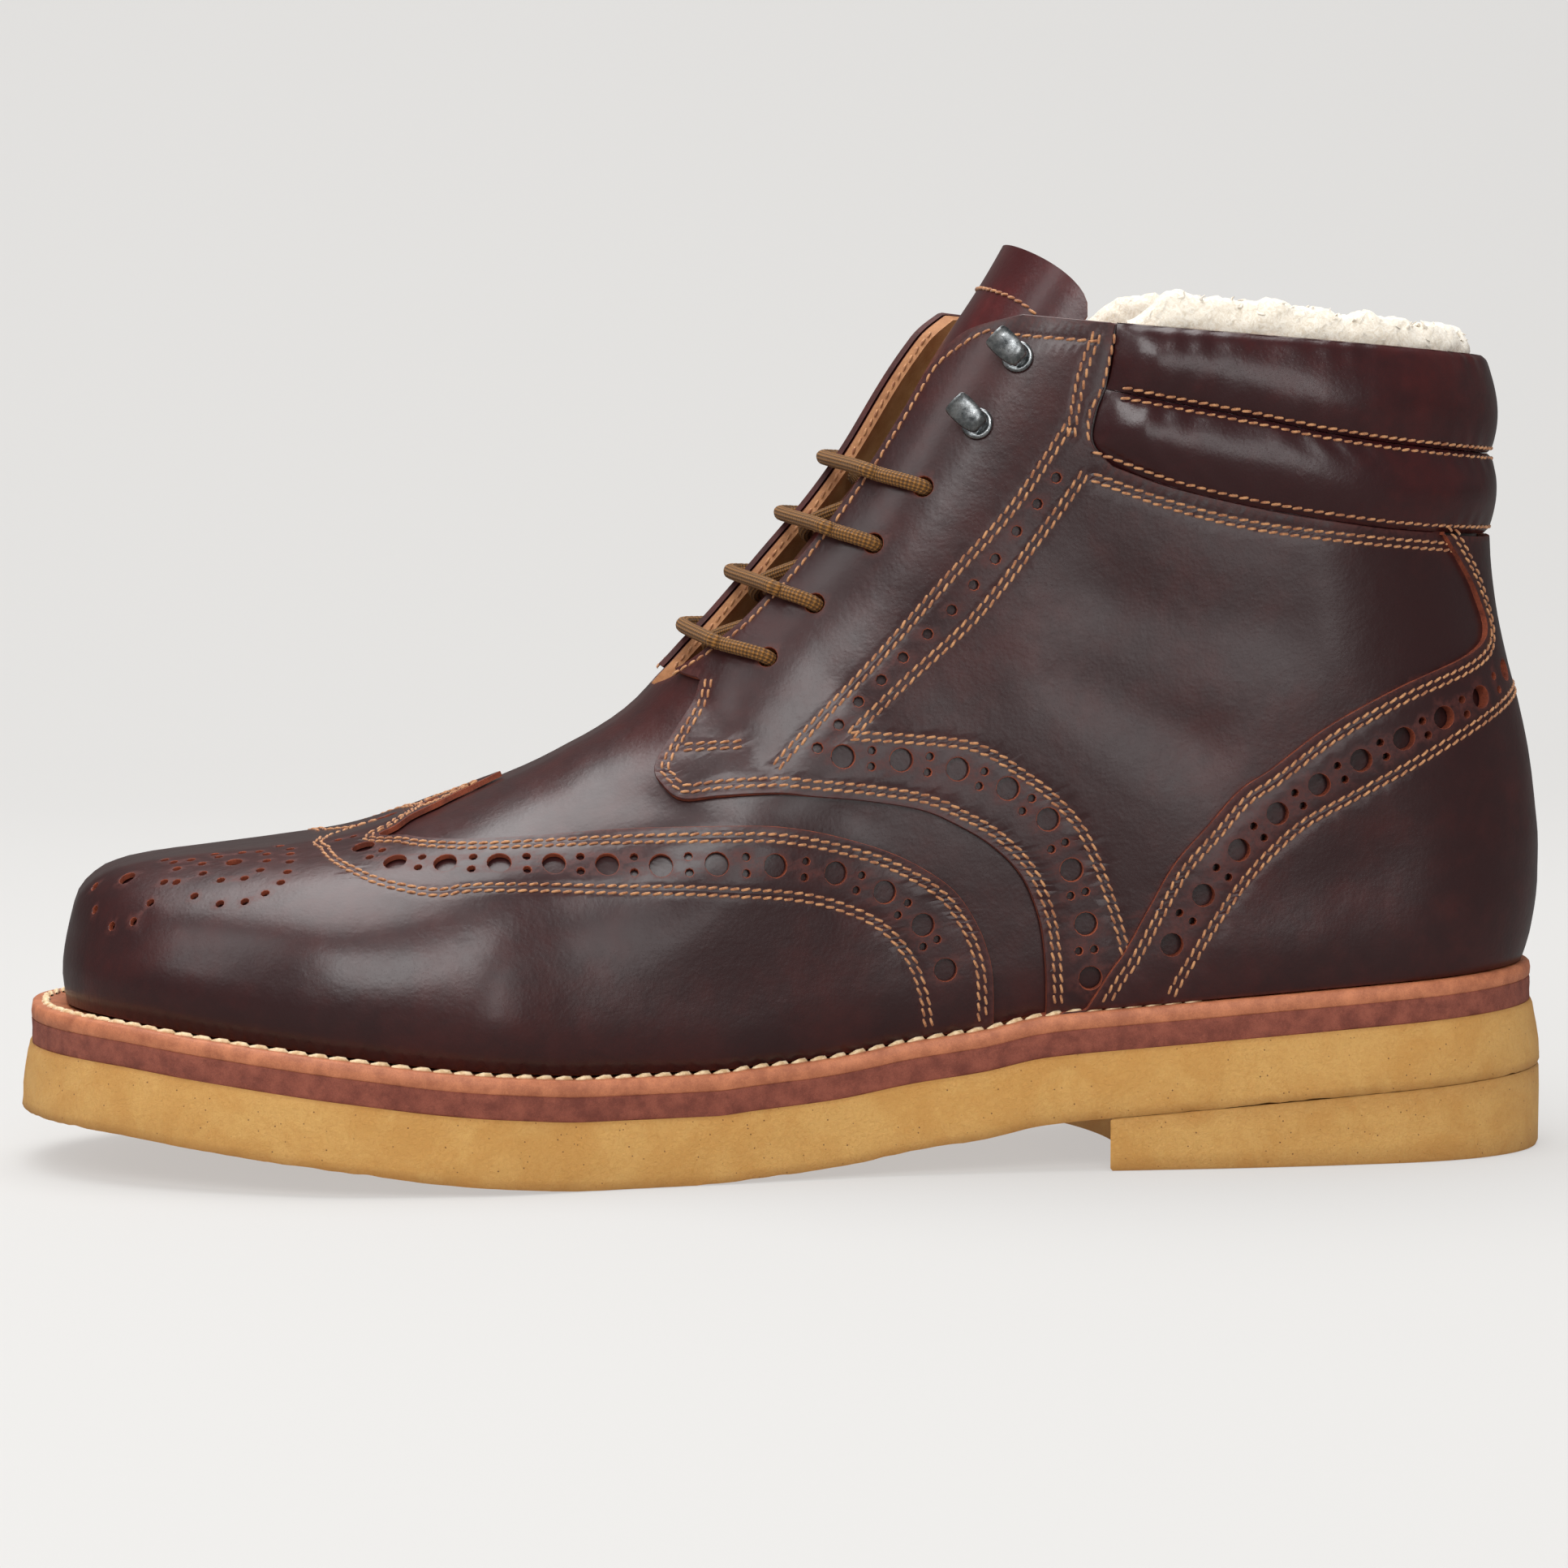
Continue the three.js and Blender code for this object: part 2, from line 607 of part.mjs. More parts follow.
function wingCap() {
  const seam = seamPoints(wingSeam, 0, 18);
  const aboveEnd = corner(wingSeam.at(-1).along, overTopShare);
  const toe = [corner(aheadShare, overTopShare), corner(aheadShare, 0)];
  const body = sidePrism([...seam, aboveEnd, ...toe, corner(wingSeam[0].along, 0)], -farY, farY);
  const edge = (side) => peakRows.map(({ along, half }) => ({
    x: toX(along), y: swingAt(along) + side * half * ballWidth,
  }));
  const peak = planPrism([...edge(LATERAL), ...edge(MEDIAL).reverse()], peakLow, peakHigh);
  return overlayLayer.intersect(body.add(peak));
}

function quarter(side) {
  const front = seamPoints(quarterSeam, 0, 22);
  const strap = seamPoints(strapSeam, 0, 5);
  const collar = seamPoints(collarSeam, 0, 9);
  const top = [corner(quarterSeam.at(-1).along, overTopShare), corner(strapSeam[0].along, overTopShare)];
  const rear = [corner(behindShare, collarSeam.at(-1).rise), corner(behindShare, 0)];
  const outline = [...front, ...top, ...strap, ...collar, ...rear, corner(quarterSeam[0].along, 0)];
  const prism = side === LATERAL ? sidePrism(outline, -farY, 0) : sidePrism(outline, 0, farY);
  const counterArea = counterPrism(0);
  return drilled(overlayLayer.intersect(prism).subtract(counterArea));
}

function counterPrism(clearance) {
  const seam = seamPoints(counterSeam, clearance, 16);
  const topRise = counterSeam[0].rise - fitGap / legHeight;
  const rear = [corner(counterSeam.at(-1).along, 0), corner(behindShare, 0), corner(behindShare, topRise)];
  return sidePrism([...seam, ...rear], -farY, farY);
}

function counter() {
  const roof = seamPoints(collarSeam, -2 * fitGap, 9);
  const front = quarterSeam[0].along;
  const rear = [corner(behindShare, roof.at(-1).rise), corner(behindShare, 0)];
  const outline = [...roof, ...rear, corner(front, 0), corner(front, collarSeam[0].rise)];
  const belowCollar = sidePrism(outline, -farY, farY);
  return counterLayer.intersect(counterPrism(fitGap)).intersect(belowCollar);
}

// Padded collar: two rolls between the collar seam, the roll seam and the top line
const collarSeamRise = tableCurve([...collarSeam].reverse(), "along", "rise", legHeight);
const rollSeamRise = tableCurve([...rollSeam].reverse(), "along", "rise", legHeight);
const topLineRise = (x) => {
  const share = (backX(legHeight) - x) / (backX(legHeight) - frontX(1));
  return sidePoint(share, 1).z;
};
const rollFootShare = 0.7;
const rollClimbs = [0.68, 0.72, 0.76, 0.8, 0.84, 0.88, 0.92, 0.96, 1];

function rollOffset(point) {
  const along = toAlong(point.x);
  const seam = rollSeamRise(along);
  const upperRoll = point.z > seam;
  const low = upperRoll ? seam : collarSeamRise(along);
  const high = upperRoll ? topLineRise(point.x) : seam;
  const share = Math.min(Math.max((point.z - low) / (high - low), 0), 1);
  const swell = Math.sqrt(Math.max(0, 1 - (2 * share - 1) ** 2));
  return fitGap + rollSeamThickness + rollBulge * swell;
}
const rollLayer = toSolid(throatedShell(rollClimbs, rollOffset, overlayIn));

function collarRoll(lowSeam, highSeam) {
  const low = seamPoints(lowSeam, fitGap, 9);
  const open = [corner(behindShare, overTopShare), corner(rollSeam[0].along, overTopShare)];
  const high = highSeam ? seamPoints(highSeam, 0, 9).reverse() : open;
  const band = sidePrism([...low, ...high], -farY, farY);
  const strap = seamPoints(strapSeam, fitGap, 5);
  const foot = corner(strapSeam.at(-1).along, rollFootShare);
  const front = [corner(strapSeam[0].along, overTopShare), ...strap, foot];
  const rear = [corner(behindShare, rollFootShare), corner(behindShare, overTopShare)];
  const behindStrap = sidePrism([...front, ...rear], -farY, farY);
  return rollLayer.intersect(band).intersect(behindStrap);
}

// Sole outline: the feather line moved outward. reach: share of the welt's reach at the toe
const reachRows = [
  { along: 0, reach: 0.53 },
  { along: 0.3, reach: 0.52 },
  { along: 0.5, reach: 0.59 },
  { along: 0.65, reach: 0.85 },
  { along: 0.85, reach: 0.9 },
  { along: 1, reach: 1 },
];
const reachAt = tableCurve(reachRows, "along", "reach", weltReach);
const soleColumns = 2 * columnsPerSide;

function outlinePoint(turn, reach) {
  const normal = lastNormal(turn, 0);
  const point = barePoint(turn, 0);
  return point.addScaledVector(normal, reach(toAlong(point.x)));
}

function outlineLoop(reach, height) {
  const loop = [];
  for (let i = 0; i < 2 * soleColumns; i += 1) {
    const point = outlinePoint((i * Math.PI) / soleColumns, reach);
    point.z = height(point.x);
    loop.push(point);
  }
  return loop;
}

// Side walls between stacked loops
function wallCells(loopCount, pointCount) {
  const cells = [];
  for (let level = 0; level < loopCount - 1; level += 1) {
    for (let i = 0; i < pointCount; i += 1) {
      const next = (i + 1) % pointCount;
      const a = level * pointCount + i;
      const b = level * pointCount + next;
      cells.push([a, b + pointCount, b], [a, a + pointCount, b + pointCount]);
    }
  }
  return cells;
}

// Flat-across lid over a loop whose lateral and medial points face each other
function lidCells(start, pointCount) {
  const cells = [];
  const half = pointCount / 2;
  for (let i = 0; i < half; i += 1) {
    const lateral = start + i;
    const lateralNext = start + i + 1;
    const medial = start + ((pointCount - i) % pointCount);
    const medialNext = start + pointCount - i - 1;
    if (i > 0) cells.push([lateral, medial, lateralNext]);
    if (i < half - 1) cells.push([lateralNext, medial, medialNext]);
  }
  return cells;
}

function solidFromCells(points, cells) {
  const geometry = new THREE.BufferGeometry();
  const positions = points.flatMap((point) => [point.x, point.y, point.z]);
  geometry.setAttribute("position", new THREE.Float32BufferAttribute(positions, 3));
  geometry.setIndex(cells.flat());
  return geometry;
}

// Slab from loops listed bottom to top
function slab(loops) {
  const pointCount = loops[0].length;
  const top = (loops.length - 1) * pointCount;
  const bottomLid = lidCells(0, pointCount).map(([a, b, c]) => [a, c, b]);
  const walls = wallCells(loops.length, pointCount);
  return solidFromCells(loops.flat(), [...bottomLid, ...walls, ...lidCells(top, pointCount)]);
}

const crepeReach = (along) => reachAt(along) + crepeFlare;
const crepeRounded = (along) => crepeReach(along) - crepeEdgeRound;

function outsole() {
  return slab([
    outlineLoop(crepeRounded, underside),
    outlineLoop(crepeReach, (x) => underside(x) + crepeEdgeRound),
    outlineLoop(reachAt, crepeTop),
  ]);
}

const breastSideCount = 96;

// Heel lift: the same outline down to the floor, hollowed at the breast
function heelLift() {
  const block = slab([
    outlineLoop(crepeRounded, () => 0),
    outlineLoop(crepeReach, () => crepeEdgeRound),
    outlineLoop(crepeReach, (x) => Math.max(underside(x) - fitGap, 2 * crepeEdgeRound)),
  ]);
  const breastX = toX(heelBreastShare);
  const hollow = new THREE.CylinderGeometry(breastRadius, breastRadius, 4 * heelRise, breastSideCount);
  hollow.rotateX(Math.PI / 2);
  hollow.translate(breastX + breastHollow - breastRadius, swingAt(heelBreastShare), 0);
  const rear = planPrism([
    { x: breastX - breastHollow, y: -farY },
    { x: soleLength, y: -farY },
    { x: soleLength, y: farY },
    { x: breastX - breastHollow, y: farY },
  ], -heelRise, 2 * heelRise);
  return toSolid(block).intersect(rear).subtract(toSolid(hollow));
}

function midsole() {
  return slab([
    outlineLoop(reachAt, (x) => crepeTop(x) + fitGap),
    outlineLoop(reachAt, midsoleTop),
  ]);
}

// Welt: a strip round the feather line, under the edge of the upper
function welt() {
  const inside = () => -weltInside;
  const low = (x) => midsoleTop(x) + fitGap;
  const high = (x) => feather(x) - fitGap;
  const loops = [
    outlineLoop(inside, low),
    outlineLoop(reachAt, low),
    outlineLoop(reachAt, high),
    outlineLoop(inside, high),
  ];
  const pointCount = loops[0].length;
  const allPoints = loops.length * pointCount;
  const cells = wallCells(loops.length + 1, pointCount).map((cell) => cell.map((i) => i % allPoints));
  return solidFromCells(loops.flat(), cells);
}

const insoleClearance = 5 * fitGap;

function insole() {
  const inset = () => -(wall + insoleClearance);
  return slab([
    outlineLoop(inset, feather),
    outlineLoop(inset, (x) => feather(x) + insoleThickness),
  ]);
}

// Tongue: under the facings, from inside the vamp to a rounded tip above the collar
const tongueDrop = wall + laceDiameter + 4 * fitGap;
const tongueRows = [
  { climb: 0.47, half: 0.34, drop: 0.5 },
  { climb: 0.55, half: 0.52, drop: 0.7 },
  { climb: 0.61, half: 0.7, drop: 1 },
  { climb: 0.8, half: 0.84, drop: 1 },
  { climb: 0.92, half: 0.92, drop: 1 },
  { climb: 0.99, half: 0.965, drop: 1 },
  { climb: 1.08, half: 0.97, drop: 1 },
];
const tongueHalf = tableCurve(tongueRows, "climb", "half", legWidth / 2);
const tongueDepth = tableCurve(tongueRows, "climb", "drop", tongueDrop);
const tongueTipShare = 1.083;
const tongueCornerShare = 0.995;
const tongueRoundShare = 0.97;
const tongueRowCount = 11;
const tongueColumnCount = 5;

function tongue() {
  const rows = [];
  for (let row = 0; row < tongueRowCount; row += 1) {
    const line = [];
    for (let column = -tongueColumnCount; column <= tongueColumnCount; column += 1) {
      const across = column / tongueColumnCount;
      const bow = Math.sqrt(1 - tongueRoundShare * across * across);
      const tip = tongueCornerShare + (tongueTipShare - tongueCornerShare) * bow;
      const climb = tongueRows[0].climb + ((tip - tongueRows[0].climb) * row) / (tongueRowCount - 1);
      const turn = Math.PI + across * (Math.PI - turnAtHalfWidth(climb, tongueHalf(climb)));
      const out = -tongueDepth(climb);
      line.push({ turn, climb, out, into: out - tongueThickness });
    }
    rows.push(line);
  }
  return patchSolid(rows);
}

// Shearling lining round the inside of the collar, with locks along its top
const furRows = [
  { height: -0.3, out: 0, into: 0.25 },
  { height: -0.24, out: 0, into: 0.8 },
  { height: -0.12, out: 0, into: 0.95 },
  { height: -0.02, out: 0, into: 1 },
  { height: 0.012, out: -0.1, into: 1.05 },
  { height: 0.028, out: 0, into: 1 },
  { height: 0.038, out: 0.4, into: 0.65 },
];
const furTopShare = furRows.at(-1).height;
const furFrontShare = 0.295;
const furColumnCount = 26;
const furClearance = 3 * fitGap;
const lockRise = 0.16 * furRise;
const lockDepth = 0.08 * furDepth;

// Two waves round the collar that part the top of the pile into locks
function lockWave(turn, row) {
  const broad = Math.sin(turn * 23 + row * 1.7);
  const narrow = Math.sin(turn * 41 + row * 2.9);
  return (broad + narrow) / 2;
}

function furLining() {
  const innerFace = wall + furClearance;
  const rows = furRows.map(({ height, out, into }, index) => {
    const climb = 1 + ((height / furTopShare) * furRise) / (legHeight - seatZ);
    const back = backX(backZ(climb));
    const frontShare = (back - toX(furFrontShare)) / (back - frontX(climb));
    const frontTurn = Math.acos(1 - 2 * frontShare);
    const line = [];
    for (let column = 0; column <= furColumnCount; column += 1) {
      const turn = -frontTurn + (2 * frontTurn * column) / furColumnCount;
      const lock = height > 0 ? lockWave(turn, index) : 0;
      const swell = Math.max(0, lock) * lockDepth;
      line.push({
        turn,
        climb: climb + (lock * lockRise) / (legHeight - seatZ),
        out: -innerFace - out * furDepth - swell,
        into: -innerFace - into * furDepth - swell,
      });
    }
    return line;
  });
  return patchSolid(rows);
}

// Lace: bars across the outside, from the lateral to the medial hole, joined by
// diagonals inside the facings. laceOver and laceUnder are offsets from the last surface
const laceOver = fitGap + overlayThickness + fitGap + laceDiameter / 2;
const laceUnder = -(wall + 2 * fitGap + laceDiameter / 2);

function laceStation(row, side, { toEdge, under, over, lift }) {
  const hole = chartOfHole(row, side);
  const rest = side === LATERAL ? chartOfHole(row, MEDIAL).climb - hole.climb : 0;
  const climb = hole.climb + rest * lift;
  const moved = hole.turn + (edgeTurn(climb, side) - hole.turn) * toEdge;
  const offset = under * laceUnder + over * (laceOver + fitGap);
  return lastPoint(side === LATERAL ? moved : FULL_TURN - moved, climb, offset);
}

// Stations on one side of a bar, from under the facing through the hole to the facing's edge.
// toEdge: share of the way from the hole to the edge; under and over: shares of the two offsets;
// lift: share of the climb to the medial hole that the lateral side has made
const laceSideRows = [
  { toEdge: 1, under: 1, over: 0, lift: 0 },
  { toEdge: 0.4, under: 1, over: 0, lift: 0 },
  { toEdge: 0.06, under: 0.86, over: 0, lift: 0 },
  { toEdge: 0, under: 0.27, over: 0, lift: 0 },
  { toEdge: 0.02, under: 0, over: 0.57, lift: 0 },
  { toEdge: 0.24, under: 0, over: 1, lift: 0.15 },
  { toEdge: 0.6, under: 0, over: 1, lift: 0.4 },
  { toEdge: 1, under: 0, over: 1, lift: 0.68 },
];

function laceSide(row, side) {
  return laceSideRows.map((station) => laceStation(row, side, station));
}

function lacePoints() {
  return laceHoleRows.flatMap((row, index) => {
    const bar = [...laceSide(row, LATERAL), ...laceSide(row, MEDIAL).reverse()];
    const next = laceHoleRows[index + 1];
    if (!next) return bar;
    const climb = (chartOfHole(row, MEDIAL).climb + chartOfHole(next, LATERAL).climb) / 2;
    return [...bar, lastPoint(Math.PI, climb, laceUnder)];
  });
}

const laceStepCount = 122;

function lace() {
  const path = new THREE.CatmullRomCurve3(lacePoints(), false, "centripetal");
  const section = new THREE.Shape();
  section.absarc(0, 0, laceDiameter / 2, 0, FULL_TURN, false);
  return new THREE.ExtrudeGeometry(section, { steps: laceStepCount, curveSegments: 4, extrudePath: path });
}

// Speed hook: a disc on the facing and a bent plate that opens toward the toe.
// out and up: shares of the hook's reach; lean: share of the plate's thickness
const hookRowsOfPlate = [
  { out: -0.1, up: 0, lean: 2.2 },
  { out: -0.06, up: 0.2, lean: 1.7 },
  { out: 0.1, up: 0.4, lean: 1.1 },
  { out: 0.35, up: 0.54, lean: 0.6 },
  { out: 0.62, up: 0.64, lean: 0.4 },
  { out: 0.95, up: 0.8, lean: 0.4 },
];
const hookRun = 0.72;
const hookClimb = 0.69;
const discSideCount = 20;

function hook(row, side) {
  const chart = ({ along, rise }) => chartOf(toX(along), rise * legHeight);
  const { point, normal } = surfaceFrame(row, side, chart);
  const radius = hookDiscDiameter / 2;
  const disc = new THREE.CylinderGeometry(radius, radius, hookDiscThickness, discSideCount);
  const under = hookRowsOfPlate.map(({ out, up }) => new THREE.Vector2(out * hookReach, up * hookReach));
  const over = hookRowsOfPlate.map(({ out, up, lean }) => (
    new THREE.Vector2(out * hookReach - lean * hookPlateThickness, up * hookReach + hookPlateThickness)
  ));
  const profile = new THREE.Shape([...under, ...over.reverse()]);
  const plate = new THREE.ExtrudeGeometry(profile, { depth: hookPlateWidth, bevelEnabled: false });
  plate.translate(0, 0, -hookPlateWidth / 2);
  const joined = toGeometry(toSolid(disc).add(toSolid(plate)));
  const toward = new THREE.Vector3(-hookRun, 0, hookClimb);
  toward.addScaledVector(normal, -toward.dot(normal)).normalize();
  const third = toward.clone().cross(normal);
  const seat = fitGap + overlayThickness + fitGap + hookDiscThickness / 2;
  const basis = new THREE.Matrix4().makeBasis(toward, normal, third);
  basis.setPosition(point.clone().addScaledVector(normal, seat));
  joined.applyMatrix4(basis);
  return joined;
}

const group = new THREE.Group();

function addMesh(name, shape, material) {
  const geometry = shape instanceof THREE.BufferGeometry ? shape : toGeometry(shape);
  const mesh = new THREE.Mesh(geometry, material);
  mesh.name = name;
  group.add(mesh);
}

addMesh("outsole", outsole(), crepe);
addMesh("heel_lift", heelLift(), crepe);
addMesh("midsole", midsole(), midsoleLeather);
addMesh("welt", welt(), weltLeather);
addMesh("insole", insole(), liningLeather);
addMesh("upper", upperShell, leather);
addMesh("wing_cap", wingCap(), leather);
addMesh("quarter_lateral", quarter(LATERAL), leather);
addMesh("quarter_medial", quarter(MEDIAL), leather);
addMesh("counter", counter(), leather);
addMesh("collar_lower_roll", collarRoll(collarSeam, rollSeam), leather);
addMesh("collar_upper_roll", collarRoll(rollSeam, null), leather);
addMesh("tongue", tongue(), leather);
addMesh("fur_lining", furLining(), shearling);
addMesh("lace", lace(), cord);
hookRows.forEach((row, index) => {
  addMesh(`hook_${index + 1}_lateral`, hook(row, LATERAL), gunmetal);
  addMesh(`hook_${index + 1}_medial`, hook(row, MEDIAL), gunmetal);
});

// The floor point under the middle of the outsole's outline is the origin
const outlineBox = new THREE.Box3().setFromPoints(outlineLoop(crepeReach, () => 0));
const middle = outlineBox.getCenter(new THREE.Vector3());
group.position.set(-middle.x, -middle.y, 0);

export default group;
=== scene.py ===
import logging
import math
from collections.abc import Callable, Sequence
from dataclasses import dataclass, field
from enum import Enum

import bmesh
import bpy
import numpy as np
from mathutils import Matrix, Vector
from mathutils.geometry import delaunay_2d_cdt
from mathutils.kdtree import KDTree


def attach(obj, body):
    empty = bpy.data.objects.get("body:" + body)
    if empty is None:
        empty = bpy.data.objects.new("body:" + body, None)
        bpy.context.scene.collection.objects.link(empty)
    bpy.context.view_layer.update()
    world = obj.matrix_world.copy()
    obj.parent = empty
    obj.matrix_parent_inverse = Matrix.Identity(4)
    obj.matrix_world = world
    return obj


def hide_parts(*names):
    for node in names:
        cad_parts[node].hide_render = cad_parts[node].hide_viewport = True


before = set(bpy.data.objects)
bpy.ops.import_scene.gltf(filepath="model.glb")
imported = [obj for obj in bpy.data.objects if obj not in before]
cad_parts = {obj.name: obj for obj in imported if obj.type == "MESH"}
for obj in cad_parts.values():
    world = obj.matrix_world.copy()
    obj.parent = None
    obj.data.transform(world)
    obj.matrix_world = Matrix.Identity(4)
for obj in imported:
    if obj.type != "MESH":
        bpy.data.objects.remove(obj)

log = logging.getLogger("boot")

MM = 0.001
TURN = 2 * math.pi

Array = np.ndarray
Material = bpy.types.Material
Object = bpy.types.Object
Socket = bpy.types.NodeSocket
Pairs = Sequence[tuple[float, float]]
Tone = tuple[int, int, int]
Point = tuple[float, float, float]


class Side(Enum):
    """Side of the boot."""

    LATERAL = -1
    MEDIAL = 1


# Sizes shared with the solids, in millimetres
SOLE_LENGTH = 308.0
BALL_WIDTH = 96.0
HEEL_INSET = 6.5
LEG_HEIGHT = 160.0
LEG_WIDTH = 64.0
TOE_SPRING = 11.2
HEEL_RISE = 16.7
CREPE = 12.8
CREPE_FLARE = 2.0
MIDSOLE = 4.5
WELT = 3.2
WELT_REACH = 8.5
WELT_INSIDE = 12.0
GAP = 0.3
WALL = 2.4
OVERLAY = 1.1
COUNTER = 2.3
LATERAL_GAP = 18.0
MEDIAL_GAP = 13.0
BREAST_SHARE = 0.306
BREAST_HOLLOW = 7.0
BREAST_RADIUS = 95.0
ROLL_BULGE = 3.4
TONGUE = 2.6
FUR_DEPTH = 5.0
FUR_RISE = 4.6
LACE = 3.0
THROAT_CLIMB = 0.6
NOSE_CLIMB = 0.0576
CREST_TURN = 0.06
CREST_FADE = 0.03

# Seams, lace weave and shearling, in millimetres, radians or shares
STITCH_SINK = 0.1
PAIR_APART = 1.55
PAIR_ROOM = 3.4
WEAVE_RATE = 4.4
WEAVE_STRANDS = 6.0
LACE_STEP = 0.45
FUR_CLIMB = 0.038
FUR_DROP = 6.5
FUR_FRONT = 0.22
FUR_ALONG = 0.295
LOCK_COUNT = 2400
PAPER_SINK = 0.0001


@dataclass(frozen=True)
class Curve:
    """Smooth curve through a table, monotone between its rows and straight beyond its ends."""

    inputs: Array
    outputs: Array
    slopes: Array

    @classmethod
    def through(cls, rows: Pairs, scale: float = 1.0) -> "Curve":
        """Makes the curve.

        Args:
            rows: Input and output of each row, by rising input.
            scale: Factor on the outputs.

        Returns:
            The curve.
        """
        inputs = np.array([row[0] for row in rows], float)
        outputs = np.array([row[1] for row in rows], float) * scale
        span = np.diff(inputs)
        chord = np.diff(outputs) / span
        slopes = np.concatenate(([chord[0]], np.zeros(len(rows) - 2), [chord[-1]]))
        for i in range(1, len(rows) - 1):
            if chord[i - 1] * chord[i] > 0:
                before = 2 * span[i] + span[i - 1]
                after = span[i] + 2 * span[i - 1]
                slopes[i] = (before + after) / (before / chord[i - 1] + after / chord[i])
        return cls(inputs, outputs, slopes)

    def __call__(self, value: Array | float) -> Array:
        """Reads the curve.

        Args:
            value: Inputs.

        Returns:
            Outputs of the same shape.
        """
        x = np.asarray(value, float)
        xs, ys, ms = self.inputs, self.outputs, self.slopes
        i = np.clip(np.searchsorted(xs, x, side="right") - 1, 0, len(xs) - 2)
        span = xs[i + 1] - xs[i]
        t = (x - xs[i]) / span
        rest = 1 - t
        start = ys[i] * (1 + 2 * t) * rest**2 + ms[i] * span * t * rest**2
        end = ys[i + 1] * t**2 * (3 - 2 * t) - ms[i + 1] * span * t**2 * rest
        low = ys[0] + ms[0] * (x - xs[0])
        high = ys[-1] + ms[-1] * (x - xs[-1])
        return np.where(x <= xs[0], low, np.where(x >= xs[-1], high, start + end))


def smooth_step(value: Array, start: float, end: float) -> Array:
    """Eases from 0 at start to 1 at end.

    Args:
        value: Inputs.
        start: Input with result 0.
        end: Input with result 1.

    Returns:
        Shares from 0 to 1.
    """
    t = np.clip((value - start) / (end - start), 0, 1)
    return t * t * (3 - 2 * t)


def rounding(share: Array, power: Array | float) -> Array:
    """Superellipse rounding.

    Args:
        share: Share of the full depth.
        power: Superellipse power.

    Returns:
        0 at the edge and 1 from the full depth on.
    """
    inside = np.clip(share, 0, 1)
    return np.maximum(0, 1 - (1 - inside) ** power) ** (1 / power)


def to_x(along: Array | float) -> Array | float:
    """Turns a share of the sole length from the heel into an x in millimetres."""
    return (0.5 - np.asarray(along)) * SOLE_LENGTH


def to_along(x: Array | float) -> Array:
    """Turns an x in millimetres into a share of the sole length from the heel."""
    return 0.5 - np.asarray(x) / SOLE_LENGTH


FRONT_ROWS = (
    (0, 0.9659, 0.206), (0.0255, 0.9685, 0.247), (NOSE_CLIMB, 0.9649, 0.294),
    (0.0859, 0.958, 0.336), (0.1167, 0.94, 0.363), (0.1433, 0.9175, 0.374),
    (0.1973, 0.8744, 0.385), (0.2508, 0.8331, 0.394), (0.3044, 0.7922, 0.405),
    (0.3614, 0.75, 0.429), (0.4192, 0.7084, 0.46), (0.4787, 0.6662, 0.494),
    (0.5099, 0.6451, 0.516), (0.5416, 0.624, 0.539), (0.5749, 0.6029, 0.5675),
    (0.612, 0.5845, 0.604), (0.6732, 0.5585, 0.669), (0.769, 0.512, 0.775),
    (0.8289, 0.4825, 0.844), (0.8888, 0.4555, 0.916), (0.9432, 0.4335, 0.984), (1, 0.4105, 1.056),
)


@dataclass(frozen=True)
class Crease:
    """A soft furrow pressed into the leather, given in the side view."""

    start: tuple[float, float]
    end: tuple[float, float]
    depth: float
    width: float


CREASES = (
    Crease((-38, 74), (8, 70), 0.35, 3.4),
    Crease((-52, 66), (-14, 63.5), 0.22, 2.6),
    Crease((-20, 92), (-8, 79), 0.5, 3.0),
    Crease((4, 96), (14, 88), 0.35, 4.0),
    Crease((52, 96), (76, 84), 0.5, 7.0),
    Crease((60, 112), (92, 106), 0.4, 9.0),
    Crease((92, 52), (116, 60), 0.35, 7.0),
    Crease((-118, 44), (-96, 38), 0.3, 7.0),
    Crease((-40, 40), (-14, 34), 0.35, 8.0),
)


